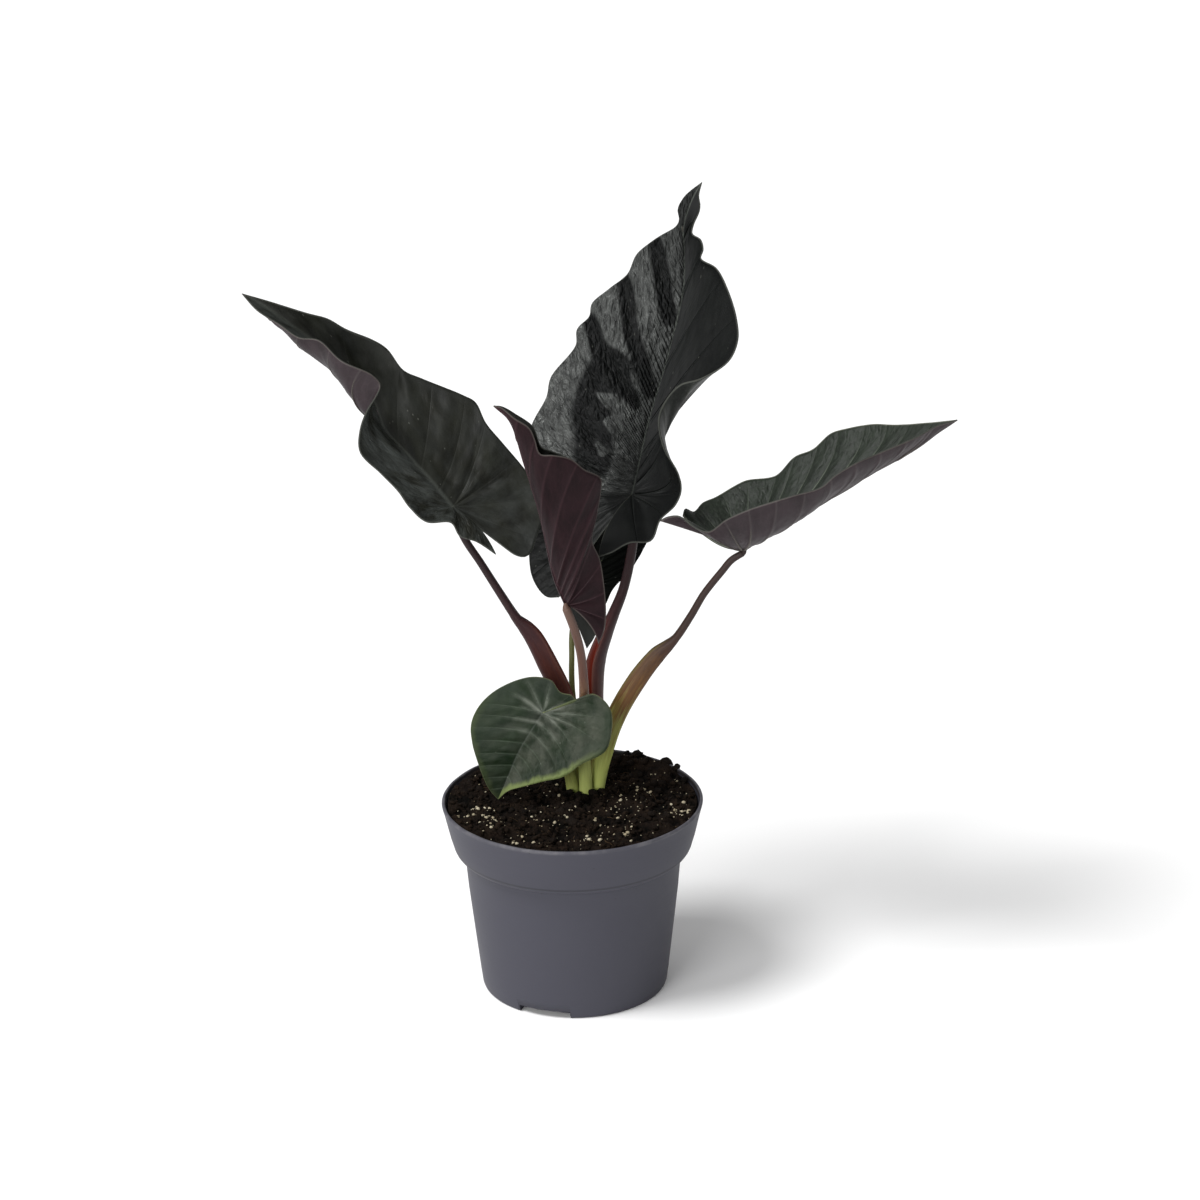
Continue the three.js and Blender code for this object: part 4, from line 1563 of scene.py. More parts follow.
@dataclass(frozen=True)
class SoilBed:
    """Peat in the pot with clods, crumbs, perlite and fibres on it.

    Attributes:
        wall: radius and height of the bed's side, from the bottom up.
        lumps: x, y, rise and spread of the heaps.
        clod_size: spacing of the gaps between the clods.
        perlite_patches: x, y and spread of the places where perlite lies close.
        marked_grains: x, y, half length and half width of the biggest grains.
        marked_clods: x, y and half length of the biggest clods.
        wall_share: share of the form's first direction that bottom and wall take.
    """

    top: float = 90.3
    rim_radius: float = 57.7
    crumbs: int = 60
    crumb_rise: float = 1.2
    crumb_spread: float = 6.0
    crumb_turn: float = 7.3
    wall: Stations = (
        (40.4, 2.0), (42.1, 8.0), (48.3, 66.5), (49.7, 68.4), (53.1, 70.8), (56.1, 82.0), (56.7, 86.0),
        (57.2, 88.0),
    )
    lumps: Stations = (
        (31.0, 45.0, 2.6, 8.0), (43.0, 37.0, 2.6, 5.0), (8.0, 48.0, 1.6, 9.0), (-34.0, 4.0, -0.4, 9.0),
    )
    clod_size: float = 7.5
    gap_depth: float = 2.4
    stem_room: float = 12.0
    loose_crumbs: int = 1500
    crumb_sizes: tuple[float, ...] = (0.35, 0.5, 0.6, 0.8, 1.1, 1.5)
    loose_clods: int = 60
    perlite_grains: int = 420
    fibres: int = 34
    perlite_patches: Stations = (
        (-43, -12, 8), (-33, -22, 6), (46, -14, 6), (52, -15, 4), (20, -4, 9), (-26, -42, 6),
        (8, -44, 7), (33, 9, 6), (-8, -23, 12), (24, -33, 8),
    )
    marked_grains: Stations = (
        (-52, -14, 1.7, 0.9), (-47.5, -17, 1.6, 0.8), (-43, -11, 1.2, 0.9), (-39, -20, 1.1, 0.8),
        (-45, -14, 0.9, 0.7), (-41, -15, 0.8, 0.7), (-38, -16.5, 1.0, 0.7), (-36, -20, 0.9, 0.8),
        (-40, -9, 0.8, 0.6), (-33, -25, 0.9, 0.7), (-37, -26, 0.8, 0.6), (-42, -23, 0.8, 0.7),
        (-35, -23, 1.3, 0.9), (45, -14, 1.3, 1.0), (53, -14, 1.2, 0.9), (-6, 3, 1.1, 0.8),
        (33, 9, 1.2, 0.9), (22, -3, 1.0, 0.8), (24, -9, 1.1, 0.8), (-25, -46, 1.1, 0.8),
        (7.5, -45, 1.3, 0.9), (-17, -19, 1.0, 0.7), (-8, -23.5, 1.1, 0.8), (25, -36, 1.1, 0.8),
    )
    marked_clods: Stations = (
        (30.5, 48.5, 3.4), (25.5, 50.0, 2.4), (44.0, 40.0, 3.3), (48.5, 34.0, 2.6), (16.0, 53.0, 2.2),
        (52.0, 21.0, 2.0), (-48.0, 22.0, 2.2), (6.0, 5.9, 3.3), (2.6, 6.8, 2.4), (9.6, 7.0, 2.6),
        (13.2, 9.4, 1.8), (-1.2, 9.2, 1.9),
    )
    wall_share: float = 0.2
    seed: int = 11

    def height(self, x: Array, y: Array) -> Array:
        """Works out the surface without its fine crumbs, as in the solid.

        Args:
            x: places to the right.
            y: places to the back.

        Returns:
            The height at each place.
        """

        def lump(cx: float, cy: float, rise: float, spread: float) -> Array:
            """Height of one soft lump at every place."""
            return rise * np.exp(-((x - cx) ** 2 + (y - cy) ** 2) / spread**2)

        total = np.full(np.shape(x), self.top)
        for crumb in range(1, self.crumbs + 1):
            radius = self.rim_radius * math.sqrt(crumb / self.crumbs)
            angle = crumb * GOLDEN_ANGLE
            rise = self.crumb_rise * math.sin(self.crumb_turn * crumb)
            x0, y0 = radius * math.cos(angle), radius * math.sin(angle)
            total = total + lump(x0, y0, rise, self.crumb_spread)
        for x0, y0, rise, spread in self.lumps:
            total = total + lump(x0, y0, rise, spread)
        return total

    def hollow(self, x: float, y: float) -> float:
        """Works out how deep a place lies between the clods.

        Args:
            x: place to the right.
            y: place to the back.

        Returns:
            0 on a clod to 1 in a gap.
        """
        wander = 2.2 * noise.noise((x * 0.3, y * 0.3, 31.0))
        deepest = 0.0
        for size, share in ((self.clod_size, 1.0), (self.clod_size * 0.4, 0.6)):
            first, second = noise.voronoi(((x + wander) / size, (y - wander) / size, 5.0))[0][:2]
            deepest = max(deepest, share * math.exp(-(((second - first) / 0.2) ** 2)))
        return deepest * min(1.0, max(0.0, 0.5 + 2.2 * noise.noise((x * 0.11, y * 0.11, 44.0))))

    def surface(self, x: float, y: float) -> float:
        """Works out the crumbly surface.

        Args:
            x: place to the right.
            y: place to the back.

        Returns:
            The height there.
        """
        rough = 1.2 * noise.noise((x * 0.3, y * 0.3, 3.0)) + 0.7 * noise.noise((x * 0.8, y * 0.8, 9.0))
        fine = 0.4 * noise.noise((x * 1.9, y * 1.9, 15.0))
        smooth = float(self.height(np.float64(x), np.float64(y)))
        return smooth + rough + fine - self.gap_depth * self.hollow(x, y)

    def form(self, along: Array, round_it: Array) -> Formed:
        """Shapes bottom, wall and crumbly top.

        Args:
            along: shares from the middle of the bottom over the wall to the middle of the top.
            round_it: shares of a turn.

        Returns:
            The bed's points and its attribute.
        """
        wall = np.array([(0.0, self.wall[0][1]), *self.wall])
        in_wall = np.clip(along / self.wall_share, 0, 1) * (len(wall) - 1)
        steps = np.arange(len(wall))
        share_top = np.clip((along - self.wall_share) / (1 - self.wall_share), 0, 1)
        on_top = along > self.wall_share + TINY
        radius = np.where(on_top, self.rim_radius * (1 - share_top), np.interp(in_wall, steps, wall[:, 0]))
        angle = 2 * np.pi * round_it
        x, y = radius * np.cos(angle), radius * np.sin(angle)
        places = list(zip(x.tolist(), y.tolist()))
        near_rim = np.clip((self.rim_radius - radius) / 1.5, 0, 1)
        edge = self.height(x, y) - 0.2
        top = edge + (np.array([self.surface(*place) for place in places]) - edge) * near_rim
        z = np.where(on_top, top, np.interp(in_wall, steps, wall[:, 1]))
        hollow = np.array([self.hollow(*place) for place in places]) * near_rim
        return np.stack([x, y, z], axis=1), {"hollow": hollow}

    def build(self) -> list[Object]:
        """Builds the bed and what lies loose on it.

        Returns:
            The bed, crumbs, perlite, clods and fibres.
        """
        bm = canvas(("hollow",))
        formed(bm, 140, 330, self.form, closed=True)
        bed = finished("soil_bed", bm, (PEAT,))
        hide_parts("potting_soil")
        draw = random.Random(self.seed)
        return [bed, self._crumbs(draw), self._perlite(draw), self._clods(draw), self._fibres(draw)]

    def _spot(self, draw: random.Random, reach: float) -> tuple[float, float]:
        """Draws a place on the surface, clear of the stems.

        Args:
            draw: source of the place.
            reach: its greatest distance from the middle.

        Returns:
            The place to the right and to the back.
        """
        while True:
            radius = reach * math.sqrt(draw.random())
            angle = draw.uniform(0, 2 * math.pi)
            x, y = radius * math.cos(angle), radius * math.sin(angle)
            if math.hypot(x - PLANT_AXIS[0], y - PLANT_AXIS[1]) > self.stem_room:
                return x, y

    def _pebble(
        self, bm: BMesh, draw: random.Random, place: Station, size: Station, lumpiness: float,
        fineness: int = 1,
    ) -> None:
        """Adds one irregular bit: a coarse ball, dented and turned at random.

        Args:
            bm: the bmesh that it joins.
            draw: source of its turn and dents.
            place: its middle in millimetres.
            size: its half lengths in millimetres.
            lumpiness: depth of its dents as a share of its size.
            fineness: how often the ball's faces are split, 1 for none.
        """
        heading = Matrix.Rotation(draw.uniform(0, 2 * math.pi), 3, "Z")
        turn = heading @ Matrix.Rotation(draw.uniform(-0.5, 0.5), 3, "X")
        for vert in bmesh.ops.create_icosphere(bm, subdivisions=fineness, radius=1.0)["verts"]:
            dent = 1 + draw.uniform(-lumpiness, lumpiness)
            local = Vector((vert.co.x * size[0], vert.co.y * size[1], vert.co.z * size[2])) * dent
            vert.co = (turn @ local + Vector(place)) * MM

    def _crumbs(self, draw: random.Random) -> Object:
        """Scatters loose crumbs of peat.

        Args:
            draw: source of their places and sizes.

        Returns:
            The crumbs as one piece.
        """
        bm = bmesh.new()
        for _ in range(self.loose_crumbs):
            x, y = self._spot(draw, self.rim_radius - 1.5)
            size = draw.choice(self.crumb_sizes) * draw.uniform(0.8, 1.25)
            place = (x, y, self.surface(x, y) + size * 0.25)
            self._pebble(bm, draw, place, (size, size * 0.8, size * 0.65), 0.6)
        return finished("peat_crumbs", bm, (PEAT_CRUMB,))

    def _perlite(self, draw: random.Random) -> Object:
        """Scatters pale grains, every third one in a patch where they lie close.

        Args:
            draw: source of their places and sizes.

        Returns:
            The grains as one piece.
        """
        bm = bmesh.new()
        for x, y, length, width in self.marked_grains:
            place = (x, y, self.surface(x, y) + width * 0.5)
            self._pebble(bm, draw, place, (length, width, width * 0.8), 0.3)
        for index in range(self.perlite_grains):
            if index % 3 == 0:
                cx, cy, spread = draw.choice(self.perlite_patches)
                x, y = draw.gauss(cx, spread * 0.5), draw.gauss(cy, spread * 0.5)
            else:
                x, y = self._spot(draw, self.rim_radius - 2)
            if math.hypot(x, y) > self.rim_radius - 1.5:
                continue
            size = draw.uniform(0.2, 0.42) if index % 8 else draw.uniform(0.5, 0.95)
            place = (x, y, self.surface(x, y) + size * 0.5)
            self._pebble(bm, draw, place, (size * draw.uniform(0.9, 1.4), size, size * 0.8), 0.4)
        return finished("perlite_grains", bm, (PERLITE,))

    def _clods(self, draw: random.Random) -> Object:
        """Lays rounded clods of peat, the biggest ones at the back.

        Args:
            draw: source of the smaller ones' places and sizes.

        Returns:
            The clods as one piece.
        """
        bm = bmesh.new()
        chosen = list(self.marked_clods)
        for _ in range(self.loose_clods):
            x, y = self._spot(draw, self.rim_radius - 4)
            chosen.append((x, y, draw.uniform(1.3, 2.6)))
        for x, y, size in chosen:
            place = (x, y, self.surface(x, y) + size * 0.1)
            half = (size, size * draw.uniform(0.65, 0.95), size * 0.7)
            self._pebble(bm, draw, place, half, 0.22, fineness=2)
        return finished("peat_clods", bm, (CLOD,))

    def _fibres(self, draw: random.Random) -> Object:
        """Lays thin roots and fibres on the peat.

        Args:
            draw: source of their places and bends.

        Returns:
            The fibres as one piece.
        """
        bm = bmesh.new()
        for _ in range(self.fibres):
            start = self._spot(draw, self.rim_radius - 9)
            heading, bend = draw.uniform(0, 2 * math.pi), draw.uniform(-1.5, 1.5)
            length, radius = draw.uniform(3, 9), draw.uniform(0.08, 0.17)
            self._add_fibre(bm, start, (heading, bend), length, radius)
        return finished("soil_fibres", bm, (FIBRE,))

    def _add_fibre(
        self, bm: BMesh, start: Station, course: Station, length: float, radius: float
    ) -> None:
        """Adds one fibre, which follows the surface.

        Args:
            bm: the bmesh that it joins.
            start: its first place.
            course: its heading there and how far it turns, in radians.
            length: its length.
            radius: its radius.
        """

        def middle(share: Array) -> Array:
            """The fibre's middle line."""
            turned = course[0] + course[1] * share
            px = start[0] + length * share * np.cos(turned)
            py = start[1] + length * share * np.sin(turned)
            pz = [self.surface(a, b) + 0.25 for a, b in zip(px.tolist(), py.tolist())]
            return np.stack([px, py, np.array(pz)], axis=1)

        def form(along: Array, round_it: Array) -> Formed:
            """The fibre's skin, without attributes."""
            size = radius * rounded_ends(along, 0.1)
            up = np.tile([0.0, 0.0, 1.0], (len(along), 1))
            return swept(along_curve(middle, along), up, size, size, 2 * np.pi * round_it), {}

        formed(bm, 9, 5, form, closed=True)


@dataclass(frozen=True)
class Pot:
    """A tapered nursery pot with a stepped collar, a beaded rim and drain notches.

    Attributes:
        notch_inner: distance from the middle at which a notch starts.
        first_notch: place of the first notch round the foot, in degrees.
        nicked_rim: how far below the top the nicks start.
    """

    height: float = 91.4
    rim_radius: float = 60.0
    base_radius: float = 42.7
    collar: float = 67.0
    floor: float = 1.6
    segments: int = 180
    notches: int = 3
    notch_width: float = 24.6
    notch_height: float = 3.6
    notch_inner: float = 36.0
    first_notch: float = -109.5
    nick: float = 0.12
    nick_scale: float = 160.0
    nicked_rim: float = 2.2

    def profile(self) -> list[tuple[float, float]]:
        """Radius and height from the middle of the underside, up and back down inside."""
        base, collar, rim = self.base_radius, self.collar, self.rim_radius
        outer = [
            (0, 0), (base - 1.4, 0), (base - 0.6, 0.15), (base - 0.1, 0.6), (base + 0.3, 1.7), (43.8, 8),
            (46.2, 29), (48.5, 49.5), (49.9, collar - 0.9), (50.1, collar - 0.35), (50.7, collar - 0.1),
            (51.5, collar), (52.7, collar + 0.4), (53.6, collar + 1.2), (54.4, collar + 2.3),
            (54.9, collar + 3.4), (56.5, 76), (57.9, 82), (58.35, 84), (58.8, 86), (59.25, 87.8),
            (59.65, 89.2), (59.9, 90.1), (rim, 90.7), (rim - 0.2, 91.0), (rim - 0.6, 91.35),
            (rim - 1.0, self.height),
        ]
        inner = [
            (rim - 1.35, 91.25), (rim - 1.6, 90.8), (58.1, 88.6), (57.2, 86), (56.6, 82),
            (53.7, collar + 3.6), (50.3, collar + 1.4), (48.8, collar - 0.5), (42.6, 8),
            (41.7, self.floor + 1), (40.8, self.floor), (0, self.floor),
        ]
        return outer + inner

    def build(self) -> Object:
        """Spins the profile, nicks the rim and cuts the notches.

        Returns:
            The pot.
        """
        bm = bmesh.new()
        points = [bm.verts.new((radius * MM, 0, z * MM)) for radius, z in self.profile()]
        lines = [bm.edges.new(pair) for pair in zip(points, points[1:])]
        bmesh.ops.spin(
            bm, geom=[*points, *lines], cent=(0, 0, 0), axis=(0, 0, 1), dvec=(0, 0, 0), angle=2 * math.pi,
            steps=self.segments, use_merge=True, use_duplicate=False,
        )
        bmesh.ops.remove_doubles(bm, verts=bm.verts, dist=MERGE_DISTANCE)
        for vert in bm.verts:
            nick = self.nick * noise.noise(vert.co * self.nick_scale)
            if vert.co.z > (self.height - self.nicked_rim) * MM:
                vert.co.z += nick * MM
        bmesh.ops.recalc_face_normals(bm, faces=bm.faces)
        pot = finished("pot_shell", bm, (POT_PLASTIC,))
        self._cut(pot)
        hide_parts("pot")
        return pot

    def _cut(self, pot: Object) -> None:
        """Cuts the drain notches round the foot.

        Args:
            pot: the pot without notches.
        """
        depth = self.base_radius + 4 - self.notch_inner
        bm = bmesh.new()
        for notch in range(self.notches):
            angle = math.radians(self.first_notch + 360 * notch / self.notches)
            size = Matrix.Diagonal((depth, self.notch_width, 2 * self.notch_height, 1))
            place = Matrix.Translation((self.notch_inner + depth / 2, 0, 0))
            whole = Matrix.Scale(MM, 4) @ Matrix.Rotation(angle, 4, "Z") @ place @ size
            bmesh.ops.create_cube(bm, size=1.0, matrix=whole)
        mesh = bpy.data.meshes.new("notch_cutter")
        bm.to_mesh(mesh)
        bm.free()
        cutter = bpy.data.objects.new("notch_cutter", mesh)
        bpy.context.scene.collection.objects.link(cutter)
        cut = pot.modifiers.new("notches", "BOOLEAN")
        cut.operation = "DIFFERENCE"
        cut.solver = "EXACT"
        cut.object = cutter
        settle(pot)
        bpy.data.objects.remove(cutter)


def settle(piece: Object) -> None:
    """Applies a piece's modifiers to its mesh.

    Args:
        piece: the piece, which has none left afterwards.
    """
    bpy.context.view_layer.update()
    depsgraph = bpy.context.evaluated_depsgraph_get()
    mesh = bpy.data.meshes.new_from_object(piece.evaluated_get(depsgraph), depsgraph=depsgraph)
    piece.modifiers.clear()
    piece.data = mesh


@dataclass(frozen=True)
class Studio:
    """Pale floor, soft lights and the photograph's camera.

    The camera and the lamps look at the aim. Places are in millimetres and angles in degrees, and
    the clip end, the floor's half length and the softbox's side are in metres.
    """

    aim: Station = (13.9, 0.0, 188.6)
    pitch: float = 21.0
    roll: float = -0.76
    distance: float = 1802.0
    lens: float = 120.0
    sensor: float = 36.0
    clip_end: float = 30.0
    floor_size: float = 6.0
    world_strength: float = 0.45
    key_from: Station = (-0.45, -0.21, 0.87)
    key_strength: float = 2.6
    key_angle: float = 26.0
    softbox_place: Station = (-760.0, -1350.0, 560.0)
    softbox_size: float = 0.8
    softbox_power: float = 14.0

    def build(self) -> None:
        """Sets up tone mapping, floor, world, lights and camera."""
        bpy.context.scene.view_settings.view_transform = "Standard"
        self._floor()
        self._world()
        self._key()
        self._softbox()
        self._camera()
        LOG.info("studio: floor, two lights and camera")

    def _floor(self) -> None:
        """Lays a wide pale floor."""
        bm = bmesh.new()
        bmesh.ops.create_grid(bm, x_segments=1, y_segments=1, size=self.floor_size)
        mesh = bpy.data.meshes.new("floor")
        bm.to_mesh(mesh)
        bm.free()
        mesh.materials.append(FLOOR.material())
        floor = bpy.data.objects.new("floor", mesh)
        bpy.context.scene.collection.objects.link(floor)

    def _world(self) -> None:
        """Surrounds the plant with an even pale world."""
        world = bpy.data.worlds.new("studio")
        world.use_nodes = True
        background = world.node_tree.nodes["Background"]
        background.inputs["Color"].default_value = (1, 1, 1, 1)
        background.inputs["Strength"].default_value = self.world_strength
        bpy.context.scene.world = world

    def _key(self) -> None:
        """Hangs a wide soft light at the upper left, which throws the shadow to the right."""
        lamp = bpy.data.lights.new("key_light", "SUN")
        lamp.energy = self.key_strength
        lamp.angle = math.radians(self.key_angle)
        self._hang("key_light", lamp, Vector(self.key_from) * 2)

    def _softbox(self) -> None:
        """Hangs a square softbox in front on the left, which the glossy blades mirror."""
        lamp = bpy.data.lights.new("front_softbox", "AREA")
        lamp.size = self.softbox_size
        lamp.energy = self.softbox_power
        self._hang("front_softbox", lamp, Vector(self.softbox_place) * MM)

    def _hang(self, name: str, lamp: bpy.types.Light, place: Vector) -> None:
        """Hangs a lamp, turned to the plant.

        Args:
            name: the lamp's name.
            lamp: its light.
            place: where it hangs, in metres.
        """
        holder = bpy.data.objects.new(name, lamp)
        holder.location = place
        aim = Vector(self.aim) * MM - place
        holder.rotation_euler = aim.to_track_quat("-Z", "Y").to_euler()
        bpy.context.scene.collection.objects.link(holder)

    def _camera(self) -> None:
        """Sets up the photograph's camera."""
        pitch, roll = math.radians(self.pitch), math.radians(self.roll)
        ahead = Vector((0, math.cos(pitch), -math.sin(pitch)))
        level = Vector((1, 0, 0))
        up = level.cross(ahead)
        right = level * math.cos(roll) + up * math.sin(roll)
        upright = up * math.cos(roll) - level * math.sin(roll)
        data = bpy.data.cameras.new("photo_camera")
        data.lens = self.lens
        data.sensor_width = self.sensor
        data.clip_end = self.clip_end
        camera = bpy.data.objects.new("photo_camera", data)
        place = (Vector(self.aim) - ahead * self.distance) * MM
        turn = Matrix((right, upright, -ahead)).transposed().to_4x4()
        camera.matrix_world = Matrix.Translation(place) @ turn
        bpy.context.scene.collection.objects.link(camera)
        bpy.context.scene.camera = camera


# Finishes
# The tall blade: painted sheen on its left half, little at the tip; its right half and back lobes stay dark
# as painted shade.
DARK_FACE = VelvetFace(
    "velvet_near_black", roughness=0.48, specular=0.17, deep=srgb(6, 7, 7), patch=srgb(13, 15, 14),
    painted_sheen=srgb(102, 104, 102), painted_sheen_share=0.85, smooth_shaded_side_share=0.04, sheen_mottle_scale=0.25,
    sheen_mottle_contrast=1.5, gloss=0.24, metal=0.6, tip_share=0.25, striae=1.2, lobe_share=0.12, crinkle=1.0,
    relief_depth=0.75,
)
# The back leaf, which sits in shade: near-black velvet whose veins, margin and sheen are mostly left out, a
# painted shade.
SHADED_BACK_FACE = VelvetFace(
    "velvet_black_in_shade", roughness=0.6, specular=0.05, deep=srgb(5, 6, 5), patch=srgb(10, 12, 9),
    painted_sheen_share=0.05, rib_share=0.2, vein_share=0.03, margin_share=0.2, crinkle=0.2,
)
# A lobe_share above 1 paints glints of sheen on the back lobes, and the wide soft midrib line is partly the
# rib's own paler colour, partly a painted highlight along the ridge.
OLIVE_FACE = VelvetFace(
    "velvet_olive", roughness=0.42, specular=0.2, sheen=0.03, sheen_tint=srgb(150, 160, 140),
    deep=srgb(13, 14, 11), patch=srgb(27, 28, 21), painted_sheen=srgb(72, 76, 74), painted_sheen_share=0.6,
    smooth_shaded_side_share=0.16, lobe_share=2.2, metal=0.3, sheen_mottle_scale=0.12, vein=srgb(60, 63, 54),
    vein_share=0.06, rib_share=0.25, rib_width=1.6, crinkle=0.3,
)
GREY_GREEN_FACE = VelvetFace(
    "velvet_grey_green", roughness=0.45, specular=0.2, sheen=0.03, deep=srgb(13, 18, 12),
    patch=srgb(26, 32, 24), painted_sheen=srgb(50, 57, 48), painted_sheen_share=0.4, smooth_shaded_side_share=0.8,
    vein=srgb(112, 120, 104), vein_share=0.5, margin=srgb(112, 114, 100), margin_width=0.7,
    margin_share=0.7, crinkle=0.35,
)
GREEN_FACE = VelvetFace(
    "velvet_young_green", roughness=0.5, specular=0.18, sheen=0.04, sheen_tint=srgb(190, 205, 190),
    deep=srgb(10, 24, 10), patch=srgb(25, 39, 20), painted_sheen=srgb(84, 86, 76), painted_sheen_share=0.5,
    smooth_shaded_side_share=0.3, sheen_mottle_scale=0.14, vein=srgb(96, 108, 92), vein_share=0.16, rib_share=0.3,
    margin=srgb(104, 110, 74), broad_margin=srgb(102, 114, 66), broad_margin_width=4.2, star_reach=22.0,
    star_tone=srgb(124, 128, 118), margin_share=0.3, crinkle=0.35,
)
PURPLE_UNDERSIDE = BladeUnderside("underside_purple", roughness=0.55, specular=0.1, sheen=0.01)
GREY_UNDERSIDE = BladeUnderside(
    "underside_grey_green", roughness=0.5, specular=0.22, sheen=0.02, deep=srgb(24, 26, 24),
    patch=srgb(42, 45, 42), vein=srgb(66, 69, 62), margin=srgb(84, 86, 78),
)
DUSKY_UNDERSIDE = BladeUnderside(
    "underside_grey_purple", roughness=0.5, specular=0.22, sheen=0.02, deep=srgb(28, 19, 22),
    patch=srgb(46, 36, 40), vein=srgb(74, 68, 68),
)
GREEN_UNDERSIDE = BladeUnderside(
    "underside_green", roughness=0.55, specular=0.2, deep=srgb(54, 62, 38), patch=srgb(74, 82, 50),
    vein=srgb(120, 126, 88),
)
DARK_RIM = BladeUnderside(
    "margin_dark", roughness=0.5, specular=0.15, deep=srgb(32, 33, 30), patch=srgb(56, 56, 52),
    margin=srgb(62, 64, 59),
)
GREEN_RIM = BladeUnderside(
    "margin_green", roughness=0.5, specular=0.2, deep=srgb(54, 62, 38), patch=srgb(84, 86, 58),
    margin=srgb(92, 90, 66),
)
PURPLE_RIB = StalkSkin(
    "rib_purple", roughness=0.5, specular=0.2,
    stops=((0.0, srgb(54, 34, 36)), (1.0, srgb(40, 24, 28))),
    streak_share=0.15,
)
GREY_RIB = StalkSkin(
    "rib_grey", roughness=0.5, specular=0.2,
    stops=((0.0, srgb(84, 76, 68)), (1.0, srgb(66, 62, 58))),
    streak_share=0.15,
)
GREEN_RIB = StalkSkin(
    "rib_green", roughness=0.5, specular=0.2,
    stops=((0.0, srgb(110, 116, 76)), (1.0, srgb(90, 98, 64))),
    streak_share=0.1,
)
FOOT_GREEN = srgb(184, 196, 112)
PURPLE_SKIN = StalkSkin(
    "stalk_purple", roughness=0.45, specular=0.2, subsurface=0.04,
    stops=(
        (0.0, FOOT_GREEN), (0.14, srgb(150, 154, 84)), (0.24, srgb(78, 42, 34)), (0.42, srgb(50, 24, 26)),
        (1.0, srgb(27, 20, 22)),
    ),
    throat=srgb(146, 52, 30), lip=srgb(84, 60, 52),
)
PINK_SKIN = StalkSkin(
    "stalk_pink", roughness=0.45, specular=0.35, subsurface=0.04,
    stops=(
        (0.0, FOOT_GREEN), (0.3, srgb(142, 148, 84)), (0.42, srgb(108, 84, 58)), (0.6, srgb(84, 56, 46)),
        (1.0, srgb(88, 66, 56)),
    ),
    streak_share=0.25, lip=srgb(112, 96, 76),
)
ORANGE_SKIN = StalkSkin(
    "stalk_orange_brown", roughness=0.45, specular=0.22, subsurface=0.04,
    stops=(
        (0.0, FOOT_GREEN), (0.18, srgb(150, 156, 84)), (0.3, srgb(98, 68, 36)), (0.48, srgb(58, 38, 28)),
        (0.7, srgb(48, 34, 29)), (1.0, srgb(42, 32, 30)),
    ),
    throat=srgb(52, 31, 22), lip=srgb(104, 98, 54),
)
GREEN_SKIN = StalkSkin(
    "stalk_green", roughness=0.48, specular=0.35, subsurface=0.04,
    stops=((0.0, FOOT_GREEN), (0.4, srgb(106, 108, 54)), (1.0, srgb(78, 76, 42))),
    throat=srgb(110, 106, 60), streak_share=0.2,
)
PEAT = Peat("peat", roughness=0.92, specular=0.08, shaded_hollows=True)
PEAT_CRUMB = Peat("peat_crumb", roughness=0.9, specular=0.08, dark=srgb(10, 7, 5), light=srgb(44, 33, 24))
CLOD = Peat("peat_clod", roughness=0.9, specular=0.08, dark=srgb(9, 7, 6), light=srgb(38, 30, 24))
PERLITE = Grain(
    "perlite", roughness=0.85, specular=0.2, tone=srgb(180, 172, 150), other=srgb(132, 120, 94),
)
FIBRE = Grain("fibre", roughness=0.8, specular=0.1, tone=srgb(74, 58, 40), other=srgb(46, 34, 24))
CORM_BARK = Grain(
    "corm_bark", roughness=0.85, tone=srgb(104, 86, 56), other=srgb(64, 48, 34), scale=120.0,
)
POT_PLASTIC = MouldedPlastic("pot_plastic_grey", roughness=0.46, specular=0.24)
FLOOR = Paper("floor_paper", roughness=0.9, specular=0.1)

